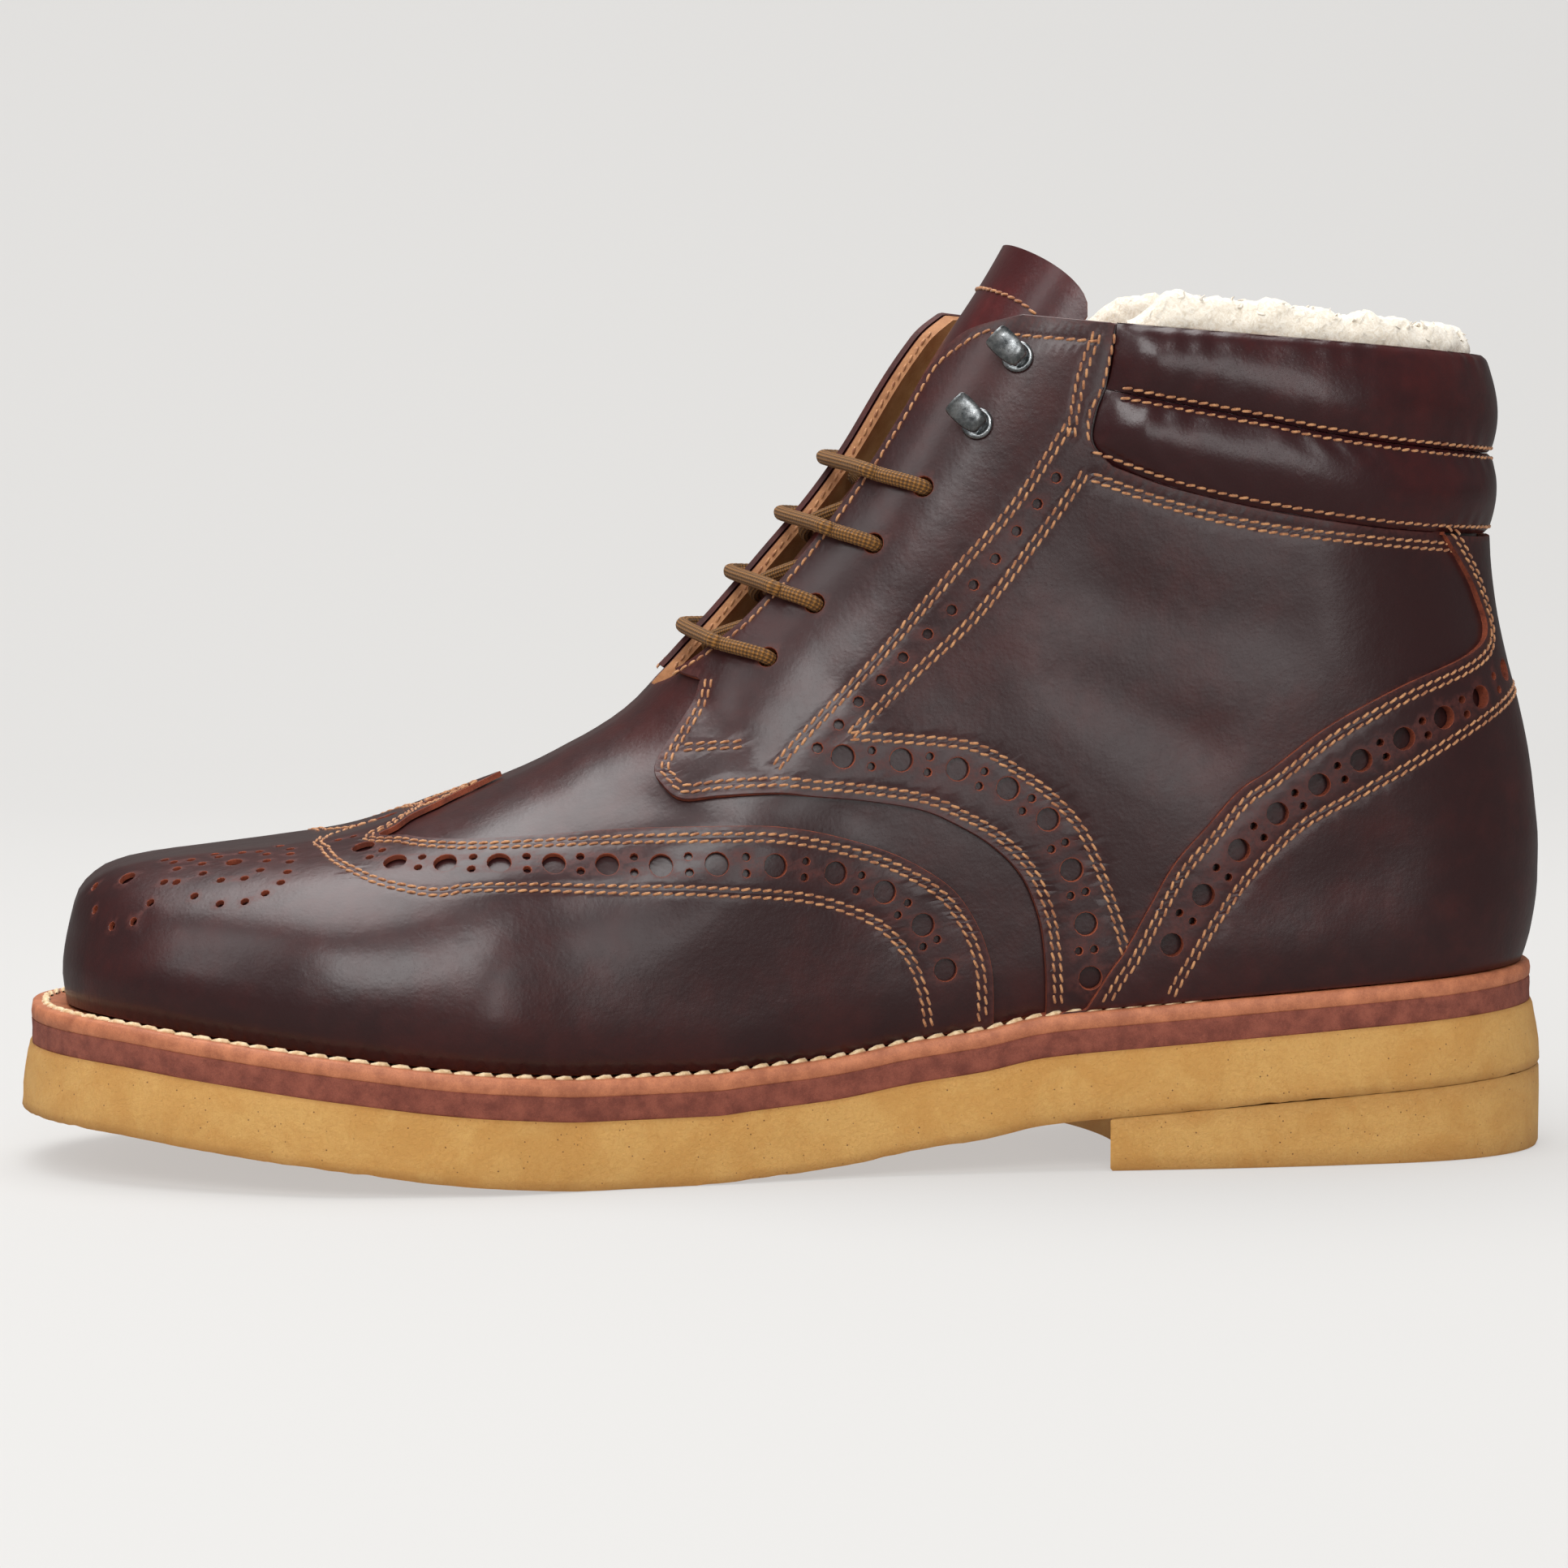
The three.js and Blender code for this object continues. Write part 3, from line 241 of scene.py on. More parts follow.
class Last:
    """The surface that the whole upper follows.

    turn runs from the back, 0, round the lateral side to the front, half a turn, and on round the
    medial side. climb runs from the feather line, 0, to the collar, 1.
    """

    def __init__(self) -> None:
        heel = ((0, 1), (0.286, 0.65), (0.35, 0.555), (0.39, 0.405), (0.435, 0.29), (0.487, 0.125),
                (0.54, 0.04), (0.565, 0), (1, 0))
        toe = ((0, 0), (0.646, 0), (0.69, 0.08), (0.74, 0.205), (0.79, 0.385), (0.84, 0.56),
               (0.89, 0.73), (0.94, 0.9), (1, 1))
        self.under_heel = Curve.through(heel, HEEL_RISE)
        self.under_toe = Curve.through(toe, TOE_SPRING)
        lateral = ((0, 0.6), (0.1, 0.61), (0.18, 0.66), (0.25, 0.685), (0.33, 0.69), (0.45, 0.72),
                   (0.55, 0.83), (0.65, 0.96), (0.72, 1.06), (0.8, 1.05), (0.87, 0.99), (0.93, 0.96),
                   (1, 0.94))
        medial = ((0, 0.6), (0.1, 0.61), (0.18, 0.65), (0.25, 0.65), (0.33, 0.6), (0.45, 0.565),
                  (0.55, 0.65), (0.65, 0.82), (0.72, 0.94), (0.8, 0.97), (0.87, 0.97), (0.93, 0.96),
                  (1, 0.94))
        self.lateral_plan = Curve.through(lateral, BALL_WIDTH / 2)
        self.medial_plan = Curve.through(medial, BALL_WIDTH / 2)
        swing = ((0, 0), (0.5, 0), (0.65, 0.01), (0.8, 0.026), (0.9, 0.042), (1, 0.052))
        self.swing = Curve.through(swing, BALL_WIDTH)
        crown = ((0, 2.2), (0.5, 2.1), (0.6, 2.15), (0.8, 2.4), (1, 2.6))
        self.crown = Curve.through(crown)
        self.front_along = Curve.through([(climb, along) for climb, along, _ in FRONT_ROWS])
        self.nose = Curve.through([(climb, rise) for climb, _, rise in FRONT_ROWS[:3]], LEG_HEIGHT)
        ridge = [(along, rise) for _, along, rise in FRONT_ROWS[2:]][::-1]
        self.ridge = Curve.through(ridge, LEG_HEIGHT)
        back = ((0.236, 0), (0.281, -0.0068), (0.3375, -0.01), (0.381, -0.01), (0.431, -0.0078),
                (0.494, -0.0039), (0.556, 0.0026), (0.619, 0.0114), (0.6875, 0.0192), (0.75, 0.0234),
                (0.8125, 0.025), (1, 0.026))
        self.set_back = Curve.through(back, SOLE_LENGTH)
        reach = ((0, 0.53), (0.3, 0.52), (0.5, 0.59), (0.65, 0.85), (0.85, 0.9), (1, 1))
        self.reach = Curve.through(reach, WELT_REACH)
        throat = ((THROAT_CLIMB, 0), (0.607, 0.4), (0.63, 0.8), (0.68, 0.98), (0.8, 1), (0.93, 1),
                  (0.975, 1.12), (1, 1.5))
        self.throat = Curve.through(throat)
        self.seat = float(self.feather(SOLE_LENGTH / 2 - HEEL_INSET))
        loop = self.outline(np.linspace(0, TURN, 61)[:-1], lambda along: self.reach(along) + CREPE_FLARE)
        self.shift = -(loop.min(axis=0) + loop.max(axis=0)) / 2
        self.shift[2] = 0

    def underside(self, x: Array) -> Array:
        """Height of the crepe outsole's underside at x."""
        along = to_along(x)
        return np.maximum(self.under_heel(along), 0) + np.maximum(self.under_toe(along), 0)

    def crepe_top(self, x: Array) -> Array:
        """Height of the crepe outsole's top at x."""
        return self.underside(x) + CREPE

    def midsole_top(self, x: Array) -> Array:
        """Height of the midsole's top at x."""
        return self.crepe_top(x) + GAP + MIDSOLE

    def feather(self, x: Array) -> Array:
        """Height at x where the upper starts."""
        return self.midsole_top(x) + GAP + WELT + GAP

    def front_x(self, climb: Array) -> Array:
        """X of the front centre line at a climb."""
        return to_x(self.front_along(climb))

    def ridge_top(self, x: Array) -> Array:
        """Height of the front centre line at x."""
        return self.ridge(to_along(x))

    def front_z(self, climb: Array) -> Array:
        """Height of the front centre line at a climb."""
        return np.where(climb < NOSE_CLIMB, self.nose(climb), self.ridge_top(self.front_x(climb)))

    def back_x(self, z: Array) -> Array:
        """X of the back centre line at a height."""
        return SOLE_LENGTH / 2 - HEEL_INSET - self.set_back(z / LEG_HEIGHT)

    def back_z(self, climb: Array) -> Array:
        """Height of the back centre line at a climb."""
        return self.seat + (LEG_HEIGHT - self.seat) * climb

    def half_width(self, x: Array, z: Array, climb: Array, medial: Array) -> Array:
        """Half width of the section.

        Args:
            x: X of the points.
            z: Heights of the points.
            climb: Climbs of the points.
            medial: Whether each point is on the medial side.

        Returns:
            Half widths in millimetres.
        """
        along = to_along(x)
        foot = np.where(medial, self.medial_plan(along), self.lateral_plan(along))
        leg = smooth_step(z, 0.344 * LEG_HEIGHT, 0.719 * LEG_HEIGHT)
        half = foot * (1 - leg) + (LEG_WIDTH / 2) * leg
        height = np.maximum(self.ridge_top(x) - self.feather(x), 8)
        depth = height / (1 + (height / (0.3875 * LEG_HEIGHT)) ** 4) ** 0.25
        over_top = rounding((self.ridge_top(x) - z) / depth, self.crown(along))
        at_toe = rounding((x - self.front_x(np.minimum(climb, NOSE_CLIMB))) / (0.2 * SOLE_LENGTH), 2.2)
        ankle = smooth_step(z, 0.375 * LEG_HEIGHT, 0.75 * LEG_HEIGHT)
        back_depth = (0.107 + 0.029 * ankle) * SOLE_LENGTH
        at_heel = rounding((self.back_x(z) - x) / back_depth, 2.1)
        low = np.maximum(0, 1 - (z - self.feather(x)) / (0.075 * LEG_HEIGHT))
        return half * over_top * at_toe * at_heel * (1 - 0.05 * low * low)

    def side_point(self, share: Array, climb: Array) -> tuple[Array, Array]:
        """X and height of a point in the side view.

        Args:
            share: Share of the way from the back to the front.
            climb: Climb.

        Returns:
            X and z.
        """
        start = self.back_x(self.seat)
        low_x = start + (self.front_x(0.0) - start) * share
        low_chord = self.seat + (self.front_z(0.0) - self.seat) * share
        dip = (self.feather(low_x) - low_chord) * np.maximum(0, 1 - climb) ** 2
        back = self.back_x(self.back_z(climb))
        x = back + (self.front_x(climb) - back) * share
        z = self.back_z(climb) + (self.front_z(climb) - self.back_z(climb)) * share + dip
        return x, z

    def bare(self, turn: Array, climb: Array) -> Array:
        """Points of the surface itself, in millimetres, one row each."""
        turn, climb = np.broadcast_arrays(np.asarray(turn, float), np.asarray(climb, float))
        wrapped = np.mod(turn, TURN)
        reach = CREST_TURN * np.clip((THROAT_CLIMB - climb) / CREST_FADE, 1e-4, 1)
        across = np.clip((wrapped - math.pi) / reach, -1, 1)
        held = np.where(np.abs(across) < 1, math.pi - reach, wrapped)
        x, z = self.side_point((1 - np.cos(held)) / 2, climb)
        lateral = self.half_width(x, z, climb, np.zeros_like(x, bool))
        medial = self.half_width(x, z, climb, np.ones_like(x, bool))
        y = self.swing(to_along(x)) + (medial * (1 + across) - lateral * (1 - across)) / 2
        return np.stack([x, y, z], axis=-1)

    def partials(self, turn: Array, climb: Array) -> tuple[Array, Array]:
        """Change of the surface point per unit of turn and per unit of climb."""
        climb = np.asarray(climb, float)
        low = np.maximum(climb - 0.004, 0)
        around = (self.bare(turn + 0.02, climb) - self.bare(turn - 0.02, climb)) / 0.04
        rise = self.bare(turn, climb + 0.004) - self.bare(turn, low)
        upward = rise / (climb + 0.004 - low)[..., None]
        return around, upward

    def normal(self, turn: Array, climb: Array) -> Array:
        """Outward unit normals."""
        around, upward = self.partials(turn, climb)
        normal = np.cross(upward, around)
        normal[..., 2] = np.where(np.asarray(climb) <= 0, 0, normal[..., 2])
        return normal / np.linalg.norm(normal, axis=-1, keepdims=True)

    def relief(self, point: Array) -> Array:
        """Unevenness of the worn leather, in millimetres along the normal."""
        x, y, z = point[..., 0], point[..., 1], point[..., 2]
        swell = 0.16 * np.sin(x / 17 + 1.3) * np.sin(z / 13 + y / 21)
        swell = swell + 0.1 * np.sin(x / 7.3 + z / 9.1 + y / 11)
        for crease in CREASES:
            (x0, z0), (x1, z1) = crease.start, crease.end
            along = ((x - x0) * (x1 - x0) + (z - z0) * (z1 - z0)) / ((x1 - x0) ** 2 + (z1 - z0) ** 2)
            near = np.clip(along, 0, 1)
            gap = np.hypot(x - x0 - near * (x1 - x0), z - z0 - near * (z1 - z0))
            swell = swell - crease.depth * np.exp(-((gap / crease.width) ** 2))
        fade = smooth_step(z - self.feather(x), 2, 12)
        return swell * fade

    def points(self, turn: Array, climb: Array, offset: Array | float = 0.0) -> Array:
        """Points at an offset from the surface.

        Args:
            turn: Turns.
            climb: Climbs.
            offset: Distances along the normal.

        Returns:
            Points in millimetres, one row each.
        """
        base = self.bare(turn, climb)
        height = offset + self.relief(base)
        return base + self.normal(turn, climb) * np.asarray(height)[..., None]

    def chart(self, x: Array, z: Array) -> Array:
        """Turn and climb, on the lateral side, of points given in the side view."""
        x = np.asarray(x, float)
        low, high = np.zeros_like(x), np.full_like(x, 1.2)
        share = np.zeros_like(x)
        for _ in range(36):
            climb = (low + high) / 2
            back = self.back_x(self.back_z(climb))
            share = (back - x) / (back - self.front_x(climb))
            below = self.side_point(share, climb)[1] < z
            low, high = np.where(below, climb, low), np.where(below, high, climb)
        return np.stack([np.arccos(1 - 2 * np.clip(share, 0, 1)), (low + high) / 2], axis=-1)

    def plan_chart(self, x: float, reach: float, start: tuple[float, float]) -> Array:
        """Turn and climb of a point on top of the toe, given in plan.

        Args:
            x: X of the point.
            reach: Distance from the centre line to the lateral side.
            start: First guess of turn and climb.

        Returns:
            Turn and climb.
        """
        turn, climb = start
        for _ in range(25):
            point = self.bare(turn, climb)
            around, upward = self.partials(np.array(turn), np.array(climb))
            miss = np.array([x - point[0], float(self.swing(to_along(x))) - reach - point[1]])
            slope = np.array([[around[0], upward[0]], [around[1], upward[1]]])
            change = np.linalg.lstsq(slope, miss, rcond=None)[0]
            turn = float(np.clip(turn + np.clip(change[0], -0.1, 0.1), 0.3, math.pi - 0.002))
            climb = float(np.clip(climb + np.clip(change[1], -0.03, 0.03), 0.01, 0.99))
        return np.array([turn, climb])

    def narrow_turn(self, climb: Array, wanted: Array) -> Array:
        """Turn at which the lateral side has narrowed to a half width."""
        low, high = np.full_like(climb, math.pi / 2), np.full_like(climb, math.pi)
        for _ in range(36):
            middle = (low + high) / 2
            x, z = self.side_point((1 - np.cos(middle)) / 2, climb)
            wide = self.half_width(x, z, climb, np.zeros_like(x, bool)) > wanted
            low, high = np.where(wide, middle, low), np.where(wide, high, middle)
        return (low + high) / 2

    def edge_turn(self, climb: Array, side: Side) -> Array:
        """Turn of a facing's edge, measured as on the lateral side."""
        climb = np.asarray(climb, float)
        gap = LATERAL_GAP if side is Side.LATERAL else MEDIAL_GAP
        edge = self.narrow_turn(climb, self.throat(climb) * gap)
        return np.where(climb <= THROAT_CLIMB, math.pi, edge)

    def step(self, chart: Array, across: Array, up: Array) -> Array:
        """Moves chart points over the surface by millimetres.

        Args:
            chart: Turn and climb, one row each.
            across: Distance with the turn.
            up: Distance at a right angle to it, toward the collar.

        Returns:
            Moved chart points.
        """
        around, upward = self.partials(chart[..., 0], chart[..., 1])
        size = np.linalg.norm(around, axis=-1)
        east = around / size[..., None]
        lean = np.sum(upward * east, axis=-1)
        rise = np.linalg.norm(upward - east * lean[..., None], axis=-1)
        climb = up / rise
        turn = (across - lean * climb) / size
        return chart + np.stack([turn, climb], axis=-1)

    def outline(self, turn: Array, reach: Callable[[Array], Array]) -> Array:
        """Sole outline: the feather line moved outward.

        Args:
            turn: Turns of the points.
            reach: Distance outward as a function of the share along the sole.

        Returns:
            Points at the feather line's height.
        """
        zero = np.zeros_like(turn)
        base = self.bare(turn, zero)
        return base + self.normal(turn, zero) * reach(to_along(base[..., 0]))[..., None]


LAST = Last()


def smooth_path(points: Pairs, spacing: float = 1.2) -> Array:
    """Smooth curve through points at an even spacing.

    Args:
        points: Points that the curve passes.
        spacing: Distance between the samples.

    Returns:
        Samples, one row each.
    """
    knots = np.asarray(points, float)
    padded = np.vstack([2 * knots[0] - knots[1], knots, 2 * knots[-1] - knots[-2]])
    samples = []
    for i in range(len(knots) - 1):
        a, b, c, d = padded[i:i + 4]
        for t in np.linspace(0, 1, 24, endpoint=False):
            samples.append(0.5 * (2 * b + (c - a) * t + (2 * a - 5 * b + 4 * c - d) * t**2
                                  + (3 * b - a - 3 * c + d) * t**3))
    samples.append(knots[-1])
    return resample(np.array(samples), spacing)


def resample(path: Array, spacing: float, measure: Array | None = None) -> Array:
    """Evenly spaced samples of a path.

    Args:
        path: Points, one row each.
        spacing: Distance between the samples.
        measure: Points that give the distances, or None for the path itself.

    Returns:
        Samples, one row each.
    """
    ruler = path if measure is None else measure
    length = np.concatenate(([0], np.cumsum(np.linalg.norm(np.diff(ruler, axis=0), axis=1))))
    count = max(2, int(round(length[-1] / spacing)) + 1)
    wanted = np.linspace(0, length[-1], count)
    return np.stack([np.interp(wanted, length, path[:, i]) for i in range(path.shape[1])], axis=1)


def side_path(points: Pairs, spacing: float = 1.2) -> Array:
    """Chart points of a smooth path given in the side view in millimetres."""
    path = smooth_path(points, spacing)
    return LAST.chart(path[:, 0], path[:, 1])


def share_path(points: Pairs, spacing: float = 1.2) -> Array:
    """Chart points of a smooth path given as shares of sole length and leg height."""
    return side_path([(float(to_x(along)), rise * LEG_HEIGHT) for along, rise in points], spacing)


def surface_spaced(chart: Array, spacing: float) -> Array:
    """Chart path with an even spacing over the surface."""
    return resample(chart, spacing, LAST.bare(*chart.T))


def beside(chart: Array, distance: float) -> Array:
    """Path that runs beside a chart path.

    Args:
        chart: Chart points, one row each.
        distance: Distance to the left of the way the path runs, seen from outside.

    Returns:
        Chart points of the moved path.
    """
    points = LAST.bare(*chart.T)
    tangent = np.gradient(points, axis=0)
    tangent /= np.linalg.norm(tangent, axis=1, keepdims=True) + 1e-9
    sideways = np.cross(LAST.normal(*chart.T), tangent)
    around, upward = LAST.partials(*chart.T)
    east = around / np.linalg.norm(around, axis=1, keepdims=True)
    north = upward - east * np.sum(upward * east, axis=1, keepdims=True)
    north /= np.linalg.norm(north, axis=1, keepdims=True)
    across = np.sum(sideways * east, axis=1) * distance
    up = np.sum(sideways * north, axis=1) * distance
    return LAST.step(chart, across, up)


def mirrored(chart: Array) -> Array:
    """The same chart points on the other side."""
    return np.stack([TURN - chart[..., 0], chart[..., 1]], axis=-1)


def above_welt(chart: Array) -> Array:
    """The part of a path that lies above the feather line."""
    return chart[chart[:, 1] > 0.004]


# Seams in the side view, as shares of the sole length and the leg height
WING_EDGE = (
    (0.382, 0.1), (0.383, 0.228), (0.387, 0.273), (0.396, 0.313), (0.412, 0.353), (0.443, 0.389),
    (0.478, 0.412), (0.512, 0.426), (0.547, 0.429), (0.632, 0.421), (0.697, 0.409),
    (0.735, 0.406), (0.753, 0.408), (0.759, 0.414),
)
PEAK = ((0.77, 0.19), (0.757, 0.165), (0.744, 0.115), (0.724, 0.073), (0.7, 0.031), (0.687, 0.004))
QUARTER_EDGE = (
    (0.348, 0.1), (0.348, 0.208), (0.35, 0.272), (0.354, 0.316), (0.365, 0.364), (0.384, 0.401),
    (0.407, 0.4275), (0.43, 0.446), (0.465, 0.4575), (0.5, 0.464), (0.523, 0.468), (0.557, 0.464),
    (0.581, 0.459), (0.592, 0.474), (0.595, 0.497), (0.573, 0.561), (0.563, 0.6),
)
COUNTER_EDGE = (
    (0.09, 0.785), (0.071, 0.731), (0.062, 0.699), (0.055, 0.656), (0.068, 0.628), (0.118, 0.59),
    (0.165, 0.543), (0.202, 0.491), (0.223, 0.465), (0.2435, 0.422), (0.265, 0.376),
    (0.281, 0.323), (0.297, 0.268), (0.31, 0.234), (0.354, 0.1),
)
STRAP_EDGE = (
    (0.301, 1.08), (0.305, 1.04), (0.31, 0.975), (0.318, 0.931), (0.32, 0.894), (0.306, 0.865),
)
COLLAR_EDGE = (
    (0.306, 0.865), (0.268, 0.839), (0.211, 0.813), (0.165, 0.7975), (0.116, 0.785),
    (0.036, 0.775), (-0.03, 0.772),
)
ROLL_SEAM_LINE = (
    (0.34, 0.972), (0.316, 0.961), (0.268, 0.9425), (0.211, 0.922), (0.165, 0.904), (0.116, 0.89),
    (0.036, 0.876), (-0.03, 0.872),
)

# Stitch rows and hole rows in the side view, in millimetres
WING_LOW_ROW = (
    (-88.2, 66.3), (-93.1, 64.1), (-93.7, 62.6), (-92, 60.8), (-88.7, 59.3), (-84.8, 57.8),
    (-80.2, 56.8), (-73.1, 56), (-63.7, 57), (-35.7, 56.6), (-21.8, 56.4), (-3.8, 55.1),
    (6.9, 52.2), (14.2, 48.3), (19.2, 42.5), (21.8, 36.1), (23, 30.3), (23.5, 24),
)
WING_HOLES = (
    (-68.4, 72.8), (-77.4, 69.8), (-84.5, 66.9), (-88, 64.9), (-86.3, 63), (-80.6, 60.9),
    (-71.1, 61), (-61, 61.2), (-50.5, 61.2), (-40.2, 61.2), (-29.8, 61.1), (-19.1, 61.5),
    (-7.8, 61.1), (4.3, 59.4), (14.2, 55.5), (21.9, 48.9), (26.4, 40),
)
FACING_ROW = ((51, 146.4), (39.6, 129.9), (26.5, 115.5), (13.3, 100.5), (-0.1, 86.9), (-7, 79.8))
BAND_UPPER_ROW = ((54.3, 137.2), (46.3, 126.1), (33, 109.6), (19.6, 97.2), (7.6, 85.9))
BAND_LOWER_ROW = (
    (7.6, 85.9), (19.5, 85.2), (32.8, 83.4), (42.6, 77.6), (48.2, 73.2), (53.2, 67.6),
    (56.6, 60.8), (59.5, 53.1), (61.6, 46.3), (62.5, 42.2),
)
BAND_SMALL_HOLES = (
    (48.5, 136.2), (44.8, 131.1), (40.7, 125.8), (36.5, 120.4), (32.2, 115.3), (27.9, 110.4),
    (23.2, 105.7), (18.4, 101.1), (14.1, 96.7), (9.6, 92.5), (5.6, 88), (1.3, 83.5),
)
BAND_HOLES = (
    (6.2, 81.9), (17.7, 81.2), (28.9, 79.3), (38.9, 75.4), (46.9, 69.3), (51.6, 59.3),
    (54.5, 48.6), (55.5, 38),
)
COUNTER_LOW_ROW = (
    (68.6, 28), (72, 35.7), (76, 42.1), (80.3, 48.8), (85.3, 55.8), (90.9, 61.9), (98.2, 68),
    (106.8, 72.6), (117.2, 77.9), (129.2, 84.3), (140, 90), (146.9, 93.9),
)
COUNTER_HOLES = (
    (71.5, 44.4), (77.7, 54.1), (84.8, 62.9), (92.6, 70), (101, 75.6), (109.5, 80.4),
    (118.1, 84.5), (126.3, 88.3), (134.3, 91.8), (141.1, 96.4),
)
UNDER_COLLAR_ROW = (
    (55.5, 136.4), (71.6, 130.7), (89.1, 126.5), (110.8, 123.7), (126.6, 122.2), (143.5, 120.5),
)
STRAP_FRONT_ROW = ((58.7, 168.8), (54.1, 157.8), (52, 148.8), (51.3, 144))
STRAP_BACK_ROW = ((60.4, 165.5), (57.6, 154.3), (55, 148.8), (54.7, 143.2))
BAR_TACK = ((-23.9, 82.9), (-12.8, 84.2))
LACE_HOLES = ((0.5227, 0.628), (0.4922, 0.694), (0.4549, 0.768), (0.424, 0.838))
HOOKS = ((0.39, 0.915), (0.364, 0.996))

# Punched flowers of the toe: x and z of the middle, then radius and number of holes of each ring
FLOWERS = ((-111.5, 59.8, ((6.6, 10), (11.2, 17))), (-132.0, 56.6, ((8.4, 11),)))
MEDIAL_SHIFT = (-0.012, 0.026)


@dataclass(frozen=True)
class Punch:
    """A punched hole in a panel."""

    turn: float
    climb: float
    radius: float

    def ring(self) -> Array:
        """Chart points round the hole."""
        count = 16 if self.radius > 1.5 else 8
        angles = np.arange(count) / count * TURN
        centre = np.tile([self.turn, self.climb], (count, 1))
        ring = LAST.step(centre, self.radius * np.cos(angles), self.radius * np.sin(angles))
        middle = LAST.bare(*centre.T)
        for _ in range(4):
            reach = np.linalg.norm(LAST.bare(*ring.T) - middle, axis=1)
            ring = centre + (ring - centre) * (self.radius / reach)[:, None]
        return ring


def punches(holes: Pairs, radius: float) -> list[Punch]:
    """Holes at points of the side view."""
    chart = LAST.chart(np.array([x for x, _ in holes]), np.array([z for _, z in holes]))
    return [Punch(float(turn), float(climb), radius) for turn, climb in chart]


def brogue_row(holes: Pairs, big: float = 2.3, small: float = 0.82) -> list[Punch]:
    """A row of big holes with a pair of small ones between each two.

    Args:
        holes: Centres of the big holes in the side view.
        big: Radius of the big holes.
        small: Radius of the small ones.

    Returns:
        The holes.
    """
    row = punches(holes, big)
    pairs = []
    for first, second in zip(row, row[1:]):
        chart = np.array([[first.turn, first.climb], [second.turn, second.climb]])
        ends = LAST.bare(*chart.T)
        if np.linalg.norm(ends[1] - ends[0]) < 2 * big + PAIR_ROOM:
            continue
        for move in (PAIR_APART, -PAIR_APART):
            turn, climb = beside(np.vstack([chart[0], chart.mean(axis=0), chart[1]]), move)[1]
            pairs.append(Punch(float(turn), float(climb), small))
    return row + pairs


def double(row: Array, half: float = 0.7) -> list[Array]:
    """Two stitch rows beside a path."""
    return [beside(row, half), beside(row, -half)]


def spot_tree(spots: Array) -> KDTree:
    """Search tree of points."""
    tree = KDTree(len(spots))
    for number, spot in enumerate(spots):
        tree.insert(spot, number)
    tree.balance()
    return tree


def off_centre(row: Array, least: float = 1.0) -> Array:
    """The part of a lateral row that keeps its distance from the centre line."""
    points = LAST.bare(*row.T)
    reach = LAST.swing(to_along(points[:, 0])) - points[:, 1]
    return row[(reach > least) & (row[:, 0] < math.pi)]


class Meshes:
    """Turns points in millimetres into Blender pieces."""

    @staticmethod
    def make(name: str, points: Array, faces: Sequence[Sequence[int]], materials: Sequence[Material],
             slots: Array | None = None, sharp: float = 0.9,
             values: dict[str, Array] | None = None, closed: bool = False) -> Object:
        """Makes one mesh object at the origin.

        Args:
            name: Piece name.
            points: Points in the last's millimetres.
            faces: Vertex numbers of each face.
            materials: Materials of the piece.
            slots: Material number of each face.
            sharp: Angle above which an edge stays sharp.
            values: Named numbers, one for each point.
            closed: Whether the faces close a solid, and are all to be turned outward.

        Returns:
            The object, linked to the scene.
        """
        mesh = bpy.data.meshes.new(name)
        placed = (np.asarray(points) + LAST.shift) * MM
        mesh.from_pydata(placed.tolist(), [], [list(face) for face in faces])
        for material in materials:
            mesh.materials.append(material)
        if slots is not None:
            mesh.polygons.foreach_set("material_index", np.asarray(slots, np.int32))
        for key, numbers in (values or {}).items():
            layer = mesh.attributes.new(key, "FLOAT", "POINT")
            layer.data.foreach_set("value", np.asarray(numbers, np.float32))
        mesh.polygons.foreach_set("use_smooth", np.ones(len(mesh.polygons), bool))
        mesh.set_sharp_from_angle(angle=sharp)
        mesh.validate()
        mesh.update()
        piece = bpy.data.objects.new(name, mesh)
        bpy.context.scene.collection.objects.link(piece)
        if closed:
            work = bmesh.new()
            work.from_mesh(mesh)
            bmesh.ops.recalc_face_normals(work, faces=work.faces)
            work.to_mesh(mesh)
            work.free()
        return piece

    @staticmethod
    def grid(rows: int, columns: int, closed: bool = False) -> list[list[int]]:
        """Quads of a grid of points that are numbered row by row."""
        faces = []
        for row in range(rows - 1):
            for column in range(columns if closed else columns - 1):
                after = (column + 1) % columns
                a, b = row * columns + column, row * columns + after
                faces.append([a, a + columns, b + columns, b])
        return faces


def inside(points: Array, outline: Array) -> Array:
    """Whether each point is inside a closed outline."""
    found = np.zeros(len(points), bool)
    x, y = points[:, 0], points[:, 1]
    for (x0, y0), (x1, y1) in zip(outline, np.roll(outline, -1, axis=0)):
        if y0 == y1:
            continue
        crossing = (y0 > y) != (y1 > y)
        found ^= crossing & (x < (x1 - x0) * (y - y0) / (y1 - y0) + x0)
    return found


